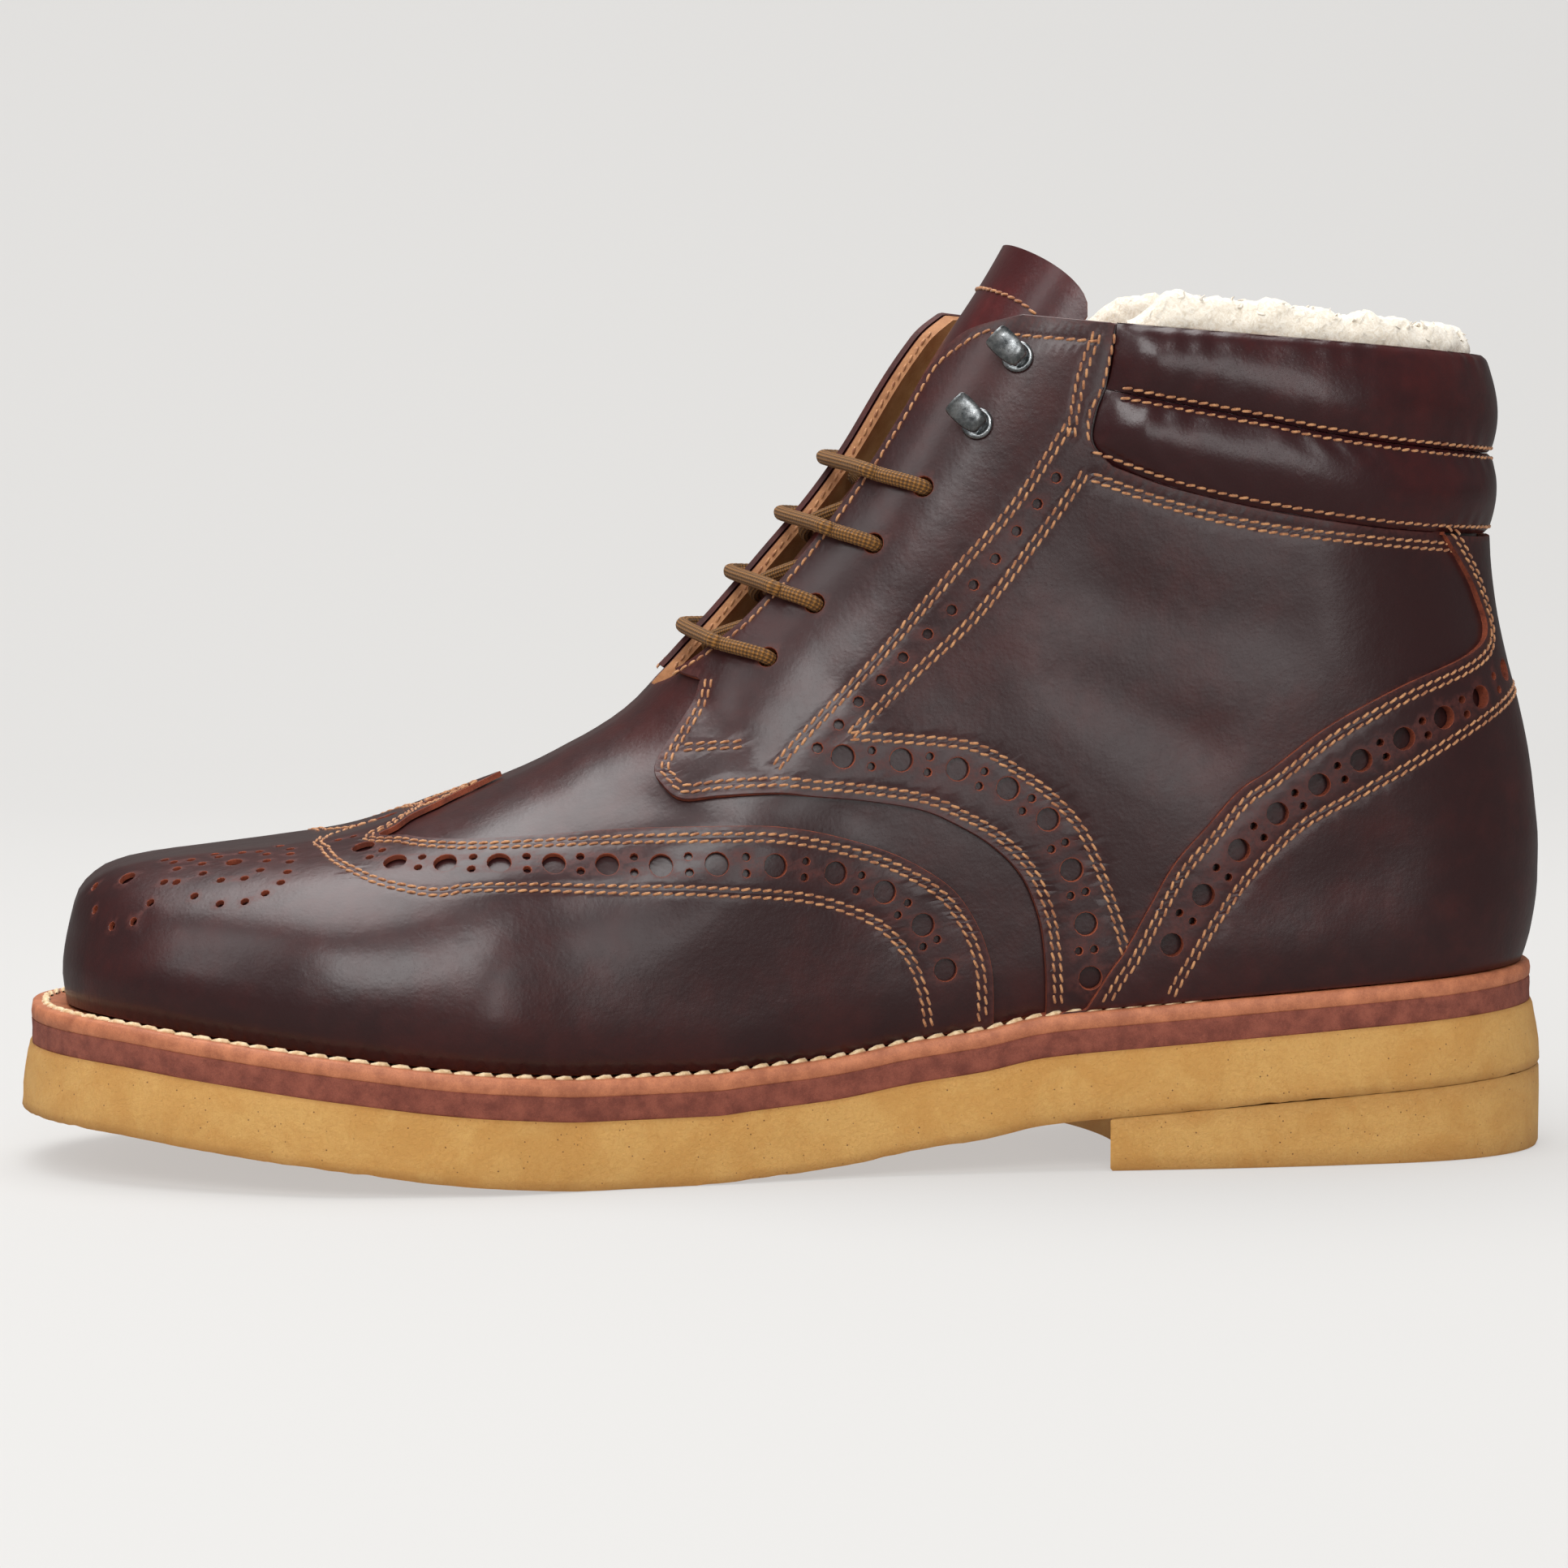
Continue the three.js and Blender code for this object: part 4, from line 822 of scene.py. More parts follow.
@dataclass
class Panel:
    """A leather part cut in the chart, punched, and laid on the last with a real thickness."""

    name: str
    outline: Array
    low: float
    high: float
    holes: list[Punch] = field(default_factory=list)
    rows: list[Array] = field(default_factory=list)
    on_medial: bool = False
    turn_step: float = 0.034
    climb_step: float = 0.014
    chamfer: float = 0.22

    def _cut(self) -> tuple[Array, list[tuple[int, int, int]]]:
        """Chart points and triangles of the punched panel."""
        outline = surface_spaced(np.vstack([self.outline, self.outline[:1]]), 1.3)[:-1]
        rings = [hole.ring() for hole in self.holes]
        low, high = outline.min(axis=0), outline.max(axis=0)
        turns = np.arange(low[0] + self.turn_step / 2, high[0], self.turn_step)
        climbs = np.arange(low[1] + self.climb_step / 2, high[1], self.climb_step)
        shift = np.where(np.arange(len(climbs)) % 2 == 0, 0, self.turn_step / 2)
        filling = np.array([[turn + move, climb]
                            for climb, move in zip(climbs, shift) for turn in turns])
        filling = filling[inside(filling, outline)]
        guide = [line for row in self.rows for line in (row, beside(row, 0.62), beside(row, -0.62))]
        loose = np.vstack([filling, *[line[inside(line, outline)] for line in guide]])
        borders = np.vstack([outline, *rings])
        tree = spot_tree(LAST.bare(*borders.T))
        where = LAST.bare(*loose.T)
        clear = np.array([tree.find(spot)[2] > 0.75 for spot in where])
        loose = loose[clear]
        if self.holes:
            spots = LAST.bare(*np.array([[hole.turn, hole.climb] for hole in self.holes]).T)
            radii = np.array([hole.radius for hole in self.holes])
            where = LAST.bare(*loose.T)
            distance = np.linalg.norm(where[:, None] - spots[None], axis=2)
            loose = loose[(distance > radii + 0.4).all(axis=1)]
        points = np.vstack([borders, loose])
        edges, ring_of, start = [], np.full(len(points), -1), 0
        for number, ring in enumerate([outline, *rings]):
            count = len(ring)
            edges += [(start + i, start + (i + 1) % count) for i in range(count)]
            ring_of[start:start + count] = number
            start += count
        scale = np.array([60.0, 120.0])
        cut = delaunay_2d_cdt([Vector(p) for p in points * scale], edges, [], 0, 1e-7)
        chart = np.array([[v.x, v.y] for v in cut[0]]) / scale
        origin = np.array([source[0] if source else -1 for source in cut[3]])
        owner = np.where(origin >= 0, ring_of[origin], -1)
        triangles = np.array([face for face in cut[2] if len(face) == 3])
        kept = inside(chart[triangles].mean(axis=1), outline)
        of_face = owner[triangles]
        in_hole = (of_face[:, 0] > 0) & (of_face == of_face[:, :1]).all(axis=1)
        return chart, [tuple(face) for face in triangles[kept & ~in_hole]]

    def build(self, top: Material, cut_edge: Material,
              under: Material | None = None, groove: float = 0.2) -> Object:
        """Makes the panel.

        Args:
            top: Material of the outer face.
            cut_edge: Material of the cut edges.
            under: Material of the inner face, or None for the cut edge's.
            groove: Depth to which the stitches pull the leather down.

        Returns:
            The panel's object.
        """
        chart, triangles = self._cut()
        turn = TURN - chart[:, 0] if self.on_medial else chart[:, 0]
        spots = LAST.bare(*chart.T)
        depth, wear = np.zeros(len(chart)), np.zeros(len(chart))
        if self.rows:
            stitched = np.vstack([surface_spaced(row, 0.8) for row in self.rows])
            tree = spot_tree(LAST.bare(*stitched.T))
            distance = np.array([tree.find(spot)[2] for spot in spots])
            depth = groove * np.exp(-((distance / 0.42) ** 2))
            wear = 0.6 * np.exp(-((distance / 1.2) ** 2))
        counts: dict[tuple[int, int], int] = {}
        for a, b, c in triangles:
            for edge in ((a, b), (b, c), (c, a)):
                counts[edge] = counts.get(edge, 0) + 1
        border = [edge for edge in counts if (edge[1], edge[0]) not in counts]
        rim = {number for edge in border for number in edge}
        for number in rim:
            wear[number] = 1
        outer = LAST.points(turn, chart[:, 1], self.high - depth)
        inner = LAST.points(turn, chart[:, 1], self.low)
        count = len(chart)
        faces, slots = [], []
        flip = not self.on_medial
        for a, b, c in triangles:
            faces.append((a, c, b) if flip else (a, b, c))
            slots.append(0)
            back = (a + count, b + count, c + count)
            faces.append(back if flip else (back[0], back[2], back[1]))
            slots.append(2 if under else 1)
        for a, b in border:
            faces.append((a, b, b + count, a + count) if flip else (b, a, a + count, b + count))
            slots.append(1)
        materials = [top, cut_edge, under] if under else [top, cut_edge]
        piece = Meshes.make(self.name, np.vstack([outer, inner]), faces, materials, np.array(slots), sharp=0.6,
                            values={"wear": np.concatenate([wear, wear])})
        self._chamfer(piece, {tuple(sorted(edge)) for edge in border})
        return piece

    def _chamfer(self, piece: Object, border: set[tuple[int, int]]) -> None:
        """Breaks the outer edge of every cut and drops unused points."""
        work = bmesh.new()
        work.from_mesh(piece.data)
        work.verts.ensure_lookup_table()
        rim = [edge for edge in work.edges if tuple(sorted(vert.index for vert in edge.verts)) in border]
        bmesh.ops.bevel(work, geom=rim, offset=self.chamfer * MM, segments=1, profile=0.5, affect="EDGES",
                        material=-1, clamp_overlap=True)
        bmesh.ops.delete(work, geom=[vert for vert in work.verts if not vert.link_faces], context="VERTS")
        work.to_mesh(piece.data)
        work.free()
        piece.data.polygons.foreach_set("use_smooth", np.ones(len(piece.data.polygons), bool))
        piece.data.set_sharp_from_angle(angle=0.6)


class Graph:
    """Short way to write a node tree."""

    def __init__(self, tree: bpy.types.NodeTree) -> None:
        self.tree = tree
        self.tree.nodes.clear()

    def add(self, kind: str, values: dict[str | int, object] | None = None,
            **settings: object) -> bpy.types.Node:
        """Adds a node.

        Args:
            kind: Node type without its prefix.
            values: Value or linked output of each named or numbered input.
            **settings: Properties of the node.

        Returns:
            The node.
        """
        node = self.tree.nodes.new("ShaderNode" + kind)
        for key, value in settings.items():
            setattr(node, key, value)
        for key, value in (values or {}).items():
            self.put(node.inputs[key], value)
        return node

    def put(self, socket: Socket, value: object) -> None:
        """Sets a socket to a number or links it to an output."""
        if isinstance(value, Socket):
            self.tree.links.new(value, socket)
        else:
            socket.default_value = value

    def place(self) -> Socket:
        """Object coordinates in millimetres."""
        coordinates = self.add("TexCoord").outputs["Object"]
        return self.add("VectorMath", {0: coordinates, 3: 1000.0}, operation="SCALE").outputs[0]

    def noise(self, scale: float, detail: float = 3.0, rough: float = 0.55, place: object = None,
              distort: float = 0.0) -> Socket:
        """Noise from 0 to 1 with a feature size of 1 / scale millimetres."""
        where = place or self.place()
        node = self.add("TexNoise", {"Vector": where, "Scale": scale, "Detail": detail, "Roughness": rough,
                                     "Distortion": distort})
        return node.outputs["Fac"]

    def cells(self, scale: float, feature: str = "F1", place: object = None) -> Socket:
        """Distance inside cells."""
        node = self.add("TexVoronoi", {"Vector": place or self.place(), "Scale": scale}, feature=feature)
        return node.outputs["Distance"]

    def math(self, operation: str, first: object, second: object = 0.0,
             clamp: bool = False) -> Socket:
        """Result of a calculation."""
        return self.add("Math", {0: first, 1: second}, operation=operation, use_clamp=clamp).outputs[0]

    def times(self, first: object, second: object) -> Socket:
        """Product of two values."""
        return self.math("MULTIPLY", first, second)

    def span(self, value: object, low: float, high: float, start: float = 0.0, end: float = 1.0) -> Socket:
        """Value mapped from one range to another, eased and held at the ends."""
        node = self.add("MapRange", {"Value": value, "From Min": low, "From Max": high, "To Min": start,
                                     "To Max": end}, interpolation_type="SMOOTHSTEP")
        return node.outputs[0]

    def mix(self, share: object, first: object, second: object, blend: str = "MIX") -> Socket:
        """Mix of two colours."""
        node = self.add("Mix", {0: share, 6: first, 7: second}, data_type="RGBA", blend_type=blend)
        return node.outputs[2]

    def bump(self, height: object, depth: object, before: object = None, strength: float = 1.0) -> Socket:
        """Normal of a relief.

        Args:
            height: Height from 0 to 1.
            depth: Millimetres that a height of 1 stands for.
            before: Normal to add to.
            strength: Share of the effect.

        Returns:
            The normal.
        """
        distance = self.times(depth, MM) if isinstance(depth, Socket) else depth * MM
        values = {"Height": height, "Distance": distance, "Strength": strength}
        if before is not None:
            values["Normal"] = before
        return self.add("Bump", values).outputs[0]

    def attribute(self, name: str) -> Socket:
        """Number kept with the mesh under a name."""
        return self.add("Attribute", attribute_name=name, attribute_type="GEOMETRY").outputs["Fac"]


class Effect(Graph):
    """Shader node group that materials share, each with its own values."""

    def __init__(self, name: str, inputs: dict[str, str], outputs: dict[str, str]) -> None:
        super().__init__(bpy.data.node_groups.new(name, "ShaderNodeTree"))
        for way, sockets in (("INPUT", inputs), ("OUTPUT", outputs)):
            for label, kind in sockets.items():
                self.tree.interface.new_socket(label, in_out=way, socket_type="NodeSocket" + kind)
        self.given = self.tree.nodes.new("NodeGroupInput").outputs
        self.result = self.tree.nodes.new("NodeGroupOutput").inputs

    def give(self, **outputs: object) -> "Effect":
        """Links the group's outputs and hands the effect back."""
        for key, value in outputs.items():
            self.put(self.result[key], value)
        return self


class Nodes(Graph):
    """A material's node tree with one Principled shader."""

    def __init__(self, name: str) -> None:
        self.material = bpy.data.materials.new(name)
        self.material.use_nodes = True
        super().__init__(self.material.node_tree)
        self.shader = self.tree.nodes.new("ShaderNodeBsdfPrincipled")
        output = self.tree.nodes.new("ShaderNodeOutputMaterial")
        self.tree.links.new(self.shader.outputs["BSDF"], output.inputs["Surface"])

    def use(self, effect: Effect, **values: object) -> bpy.types.bpy_prop_collection:
        """Places a shared effect with this material's own values and gives its outputs."""
        node = self.add("Group", node_tree=effect.tree)
        for key, value in values.items():
            self.put(node.inputs[key.replace("_", " ")], value)
        return node.outputs

    def finish(self, **sockets: object) -> Material:
        """Sets the shader's sockets, written with _ for a space."""
        for key, value in sockets.items():
            self.put(self.shader.inputs[key.replace("_", " ")], value)
        return self.material


def colour(red: int, green: int, blue: int) -> tuple[float, float, float, float]:
    """Linear colour of a screen colour."""
    parts = [channel / 255 for channel in (red, green, blue)]
    linear = [part / 12.92 if part <= 0.04045 else ((part + 0.055) / 1.055) ** 2.4 for part in parts]
    return (*linear, 1.0)


@dataclass(frozen=True)
class PolishedLeather:
    """Burgundy pull-up leather, redder and duller at its edges and seams."""

    name: str
    dark: Tone = (46, 20, 21)
    warm: Tone = (62, 23, 22)
    edge: Tone = (92, 36, 28)
    gloss: float = 0.36

    @staticmethod
    def effect() -> Effect:
        """Colour, roughness and grain that all polished leathers share."""
        nodes = Effect("polished_leather", {"Dark": "Color", "Warm": "Color", "Edge": "Color", "Gloss": "Float"},
                       {"Color": "Color", "Roughness": "Float", "Normal": "Vector"})
        place = nodes.place()
        broad = nodes.noise(0.022, 3.0, 0.6, place, 0.4)
        cloud = nodes.noise(0.16, 4.0, 0.65, place)
        streak = nodes.noise(0.9, 5.0, 0.7, place)
        warm = nodes.span(nodes.math("ADD", nodes.times(broad, 0.65), nodes.times(cloud, 0.35)),
                          0.42, 0.66)
        base = nodes.mix(warm, nodes.given["Dark"], nodes.given["Warm"])
        wear = nodes.attribute("wear")
        worn = nodes.times(nodes.span(wear, 0.25, 1.0), nodes.span(streak, 0.3, 0.66))
        base = nodes.mix(nodes.times(worn, 0.6), base, nodes.given["Edge"])
        scuff = nodes.span(nodes.noise(2.6, 6.0, 0.75, place, 1.2), 0.66, 0.76)
        base = nodes.mix(nodes.times(scuff, 0.2), base, nodes.given["Edge"])
        grain = nodes.times(nodes.cells(1.5, "SMOOTH_F1", place), nodes.noise(0.5, 2.0, 0.5, place))
        pores = nodes.span(nodes.cells(2.6, "F1", place), 0.0, 0.34)
        rough = nodes.math("ADD", nodes.times(nodes.noise(0.35, 4.0, 0.6, place), 0.12),
                           nodes.math("SUBTRACT", nodes.given["Gloss"], 0.08))
        rough = nodes.math("ADD", rough, nodes.times(worn, 0.2), clamp=True)
        relief = nodes.bump(nodes.noise(0.11, 3.0, 0.5, place), 0.5, strength=0.4)
        relief = nodes.bump(grain, 0.09, relief, 0.5)
        relief = nodes.bump(pores, 0.03, relief, 0.4)
        return nodes.give(Color=base, Roughness=rough, Normal=relief)

    def material(self, effect: Effect) -> Material:
        """Makes the material.

        Args:
            effect: The shared effect.

        Returns:
            The material.
        """
        nodes = Nodes(self.name)
        face = nodes.use(effect, Dark=colour(*self.dark), Warm=colour(*self.warm), Edge=colour(*self.edge),
                         Gloss=self.gloss)
        return nodes.finish(Base_Color=face["Color"], Roughness=face["Roughness"], Normal=face["Normal"],
                            Specular_IOR_Level=0.5, Coat_Weight=0.18, Coat_Roughness=0.2)


@dataclass(frozen=True)
class RawLeather:
    """Cut or unfinished leather with a fibrous face."""

    name: str
    dark: Tone
    light: Tone
    rough: float = 0.7
    fibre: float = 0.12

    @staticmethod
    def effect() -> Effect:
        """Cloudy colour and fibrous relief that all raw leathers share."""
        nodes = Effect("raw_leather", {"Dark": "Color", "Light": "Color", "Fibre": "Float"},
                       {"Color": "Color", "Normal": "Vector"})
        place = nodes.place()
        cloud = nodes.noise(0.25, 4.0, 0.65, place)
        fibres = nodes.noise(3.2, 6.0, 0.8, place, 1.5)
        tone = nodes.span(nodes.math("ADD", nodes.times(cloud, 0.5), nodes.times(fibres, 0.5)),
                          0.36, 0.66)
        return nodes.give(Color=nodes.mix(tone, nodes.given["Dark"], nodes.given["Light"]),
                          Normal=nodes.bump(fibres, nodes.given["Fibre"], strength=0.8))

    def material(self, effect: Effect) -> Material:
        """Makes the material from the shared effect."""
        nodes = Nodes(self.name)
        face = nodes.use(effect, Dark=colour(*self.dark), Light=colour(*self.light), Fibre=self.fibre)
        return nodes.finish(Base_Color=face["Color"], Roughness=self.rough, Normal=face["Normal"])


@dataclass(frozen=True)
class Thread:
    """Twisted sewing thread."""

    name: str
    dark: Tone
    light: Tone

    @staticmethod
    def effect() -> Effect:
        """Uneven colour and fine fibres that both threads share."""
        nodes = Effect("thread_twist", {"Dark": "Color", "Light": "Color"},
                       {"Color": "Color", "Normal": "Vector"})
        place = nodes.place()
        tone = nodes.span(nodes.noise(0.8, 3.0, 0.6, place), 0.35, 0.65)
        fibres = nodes.noise(7.0, 3.0, 0.7, place)
        return nodes.give(Color=nodes.mix(tone, nodes.given["Dark"], nodes.given["Light"]),
                          Normal=nodes.bump(fibres, 0.05))

    def material(self, effect: Effect) -> Material:
        """Makes the material from the shared effect."""
        nodes = Nodes(self.name)
        face = nodes.use(effect, Dark=colour(*self.dark), Light=colour(*self.light))
        return nodes.finish(Base_Color=face["Color"], Roughness=0.62, Normal=face["Normal"], Sheen_Weight=0.2)


@dataclass(frozen=True)
class Crepe:
    """Honey-coloured natural crepe rubber with specks and a crumbly skin."""

    name: str = "crepe_rubber"
    pale: Tone = (216, 167, 94)
    deep: Tone = (206, 152, 78)
    speck: Tone = (112, 66, 26)

    def material(self) -> Material:
        """Makes the material."""
        nodes = Nodes(self.name)
        place = nodes.place()
        cloud = nodes.noise(0.07, 5.0, 0.65, place, 0.6)
        crumb = nodes.noise(1.3, 7.0, 0.78, place, 0.6)
        base = nodes.mix(nodes.span(cloud, 0.36, 0.64), colour(*self.deep), colour(*self.pale))
        base = nodes.mix(nodes.times(nodes.span(crumb, 0.42, 0.7), 0.45), base, colour(190, 134, 60))
        specks = nodes.times(nodes.span(nodes.cells(0.75, "F1", place), 0.16, 0.06),
                            nodes.span(nodes.noise(0.4, 2.0, 0.5, place), 0.5, 0.57))
        base = nodes.mix(specks, base, colour(*self.speck))
        wear = nodes.attribute("wear")
        base = nodes.mix(nodes.times(wear, 0.55), base, colour(150, 92, 34))
        relief = nodes.bump(crumb, 0.5, strength=0.9)
        relief = nodes.bump(nodes.noise(3.5, 4.0, 0.7, place), 0.08, relief, 0.7)
        return nodes.finish(Base_Color=base, Roughness=0.6, Normal=relief, Subsurface_Weight=0.12,
                            Subsurface_Radius=(0.004, 0.002, 0.001), Subsurface_Scale=0.5)


@dataclass(frozen=True)
class Shearling:
    """Cream wool with a faint glow of painted light."""

    name: str = "shearling_wool"

    def material(self) -> Material:
        """Makes the material."""
        nodes = Nodes(self.name)
        place = nodes.place()
        curl = nodes.noise(0.7, 5.0, 0.7, place, 2.0)
        fine = nodes.noise(3.0, 5.0, 0.8, place, 2.5)
        base = nodes.mix(nodes.span(curl, 0.32, 0.66), colour(222, 208, 186), colour(246, 238, 224))
        relief = nodes.bump(curl, 0.4, strength=0.6)
        relief = nodes.bump(fine, 0.15, relief, 0.7)
        # Faint emission in the wool's own colour: painted light that brightens the pile in its shade.
        return nodes.finish(Base_Color=base, Roughness=0.95, Normal=relief, Sheen_Weight=0.5, Sheen_Roughness=0.6,
                            Emission_Color=base, Emission_Strength=0.06)


@dataclass(frozen=True)
class Gunmetal:
    """Dark plated metal with rubbed edges."""

    name: str = "gunmetal_plate"

    def material(self) -> Material:
        """Makes the material."""
        nodes = Nodes(self.name)
        place = nodes.place()
        cloud = nodes.noise(0.6, 4.0, 0.6, place)
        base = nodes.mix(nodes.span(cloud, 0.35, 0.65), colour(128, 132, 134), colour(184, 187, 188))
        rough = nodes.span(nodes.noise(1.6, 4.0, 0.7, place), 0.3, 0.7, 0.2, 0.42)
        relief = nodes.bump(nodes.noise(1.2, 4.0, 0.6, place), 0.06, strength=0.5)
        return nodes.finish(Base_Color=base, Roughness=rough, Normal=relief, Metallic=1.0)


@dataclass(frozen=True)
class Braid:
    """Round braided cord; reads how far along and round it each point is."""

    name: str = "braided_cord"

    def material(self) -> Material:
        """Makes the material."""
        nodes = Nodes(self.name)
        along = nodes.times(nodes.attribute("along"), WEAVE_RATE)
        around = nodes.times(nodes.attribute("round"), WEAVE_STRANDS)
        strands = [nodes.math("SINE", nodes.math(way, along, around)) for way in ("ADD", "SUBTRACT")]
        weave = nodes.times(*strands)
        height = nodes.span(weave, -0.8, 0.9)
        # Colour follows the weave's height: painted shade in the grooves between strands, painted highlight on
        # their crowns.
        base = nodes.mix(height, colour(66, 38, 8), colour(150, 98, 30))
        fibres = nodes.noise(4.0, 4.0, 0.7)
        base = nodes.mix(nodes.times(nodes.span(fibres, 0.4, 0.7), 0.3), base, colour(172, 120, 48))
        relief = nodes.bump(height, 0.35, strength=1.0)
        relief = nodes.bump(fibres, 0.05, relief)
        return nodes.finish(Base_Color=base, Roughness=0.7, Normal=relief, Sheen_Weight=0.05)


@dataclass(frozen=True)
class Backdrop:
    """Plain pale studio paper."""

    name: str = "studio_paper"

    def material(self) -> Material:
        """Makes the material."""
        nodes = Nodes(self.name)
        mirrored_ray = nodes.add("LightPath").outputs["Is Glossy Ray"]
        base = nodes.mix(mirrored_ray, colour(134, 133, 131), colour(96, 94, 92))
        glow = nodes.mix(mirrored_ray, colour(183, 182, 181), colour(40, 40, 40))
        return nodes.finish(Base_Color=base, Roughness=0.9, Specular_IOR_Level=0.1, Emission_Color=glow,
                            Emission_Strength=1.0)


class Palette:
    """All finishes of the boot."""

    def __init__(self) -> None:
        polished, raw, twist = PolishedLeather.effect(), RawLeather.effect(), Thread.effect()
        self.leather = PolishedLeather("burgundy_leather").material(polished)
        self.roll = PolishedLeather("collar_leather", (48, 18, 20), (66, 21, 21), (96, 36, 28),
                                    0.32).material(polished)
        self.tongue = PolishedLeather("tongue_leather", (62, 20, 22), (88, 28, 28), (108, 42, 32),
                                      0.34).material(polished)
        self.cut = RawLeather("cut_edge", (100, 42, 26), (160, 76, 44), 0.72, 0.16).material(raw)
        # Darker copy of the cut edge for the medial quarter: painted shade on edges that face away from the light.
        self.shaded_cut = RawLeather("shaded_cut_edge", (60, 22, 20), (92, 36, 30), 0.6, 0.1).material(raw)
        self.lining_edge = RawLeather("lining_edge", (158, 104, 64), (190, 134, 88), 0.65, 0.08).material(raw)
        # Tan lining set lighter than its own tone: partly the lining's real colour, partly painted light that
        # lifts the inner faces out of their shade.
        self.lining = RawLeather("lining_leather", (206, 146, 92), (234, 182, 124), 0.62, 0.05).material(raw)
        self.welt = RawLeather("welt_leather", (158, 90, 60), (204, 128, 88), 0.5, 0.08).material(raw)
        self.midsole = RawLeather("midsole_leather", (112, 52, 40), (158, 86, 66), 0.75, 0.3).material(raw)
        self.thread = Thread("seam_thread", (146, 88, 52), (196, 140, 92)).material(twist)
        self.welt_thread = Thread("welt_thread", (206, 172, 126), (238, 212, 172)).material(twist)
        self.crepe = Crepe().material()
        self.wool = Shearling().material()
        self.metal = Gunmetal().material()
        self.braid = Braid().material()


@dataclass
class Sewing:
    """Rows of separate stitches joined into one piece."""

    name: str
    pitch: float = 2.15
    length: float = 1.95
    radius: float = 0.29
    slant: float = 0.22
    points: list[Array] = field(default_factory=list)
    faces: list[Array] = field(default_factory=list)
    count: int = 0

    def _capsule(self) -> tuple[Array, Array]:
        """Points and faces of one stitch that runs along x."""
        sides, shares = 6, (-0.5, -0.38, 0.0, 0.38, 0.5)
        girth = (0.45, 0.88, 1.0, 0.88, 0.45)
        angles = np.arange(sides) / sides * TURN
        rings = [np.stack([np.full(sides, share * self.length), self.radius * size * np.cos(angles),
                           self.radius * (size * np.sin(angles) - 1.1 * (2 * share) ** 4)], axis=1)
                 for share, size in zip(shares, girth)]
        faces = []
        for ring in range(len(shares) - 1):
            for i in range(sides):
                a, b = ring * sides + i, ring * sides + (i + 1) % sides
                faces.append((a, b, b + sides, a + sides))
        return np.vstack(rings), np.array(faces)

    def row(self, chart: Array, offset: float, on_medial: bool = False) -> None:
        """Adds a row on the last.

        Args:
            chart: Chart points of the row.
            offset: Distance of the stitched face from the last.
            on_medial: Whether the row is on the medial side.
        """
        chart = chart[(chart[:, 1] > 0.008) & (chart[:, 1] < 0.99)]
        path = surface_spaced(chart, 0.3)
        turn = TURN - path[:, 0] if on_medial else path[:, 0]
        points = LAST.points(turn, path[:, 1], offset)
        self.line(points, LAST.normal(turn, path[:, 1]))

    def line(self, points: Array, normals: Array) -> None:
        """Adds a row along points with their outward directions."""
        length = np.concatenate(([0], np.cumsum(np.linalg.norm(np.diff(points, axis=0), axis=1))))
        number = int(length[-1] / self.pitch)
        if number < 1:
            return
        spots = (np.arange(number) + 0.5) * length[-1] / number
        centre = np.stack([np.interp(spots, length, points[:, i]) for i in range(3)], axis=1)
        ahead = np.stack([np.interp(spots + 0.5, length, points[:, i]) for i in range(3)], axis=1)
        back = np.stack([np.interp(spots - 0.5, length, points[:, i]) for i in range(3)], axis=1)
        up = np.stack([np.interp(spots, length, normals[:, i]) for i in range(3)], axis=1)
        up /= np.linalg.norm(up, axis=1, keepdims=True)
        tangent = ahead - back
        tangent /= np.linalg.norm(tangent, axis=1, keepdims=True)
        across = np.cross(up, tangent)
        jitter = 0.05 * np.sin(np.arange(number) * 2.4 + number)
        run = tangent + across * (self.slant + jitter)[:, None]
        run /= np.linalg.norm(run, axis=1, keepdims=True)
        across = np.cross(up, run)
        capsule, faces = self._capsule()
        world = (centre[:, None] + run[:, None] * capsule[None, :, :1]
                 + across[:, None] * capsule[None, :, 1:2] + up[:, None] * (capsule[None, :, 2:] + 0.12))
        self.points.append(world.reshape(-1, 3))
        for i in range(number):
            self.faces.append(faces + self.count + i * len(capsule))
        self.count += number * len(capsule)

    def build(self, material: Material) -> Object:
        """Makes the piece."""
        faces = np.vstack(self.faces).tolist()
        return Meshes.make(self.name, np.vstack(self.points), faces, [material], sharp=3.0)


def settle(piece: Object) -> None:
    """Fixes a piece to the boot and reports it."""
    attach(piece, "root")
    log.info("%s: %d faces", piece.name, len(piece.data.polygons))


def throat_edge(side: Side, start: float, end: float, count: int = 60) -> Array:
    """Chart points of a facing's edge between two climbs."""
    climbs = np.linspace(start, end, count)
    return np.stack([LAST.edge_turn(climbs, side), climbs], axis=1)


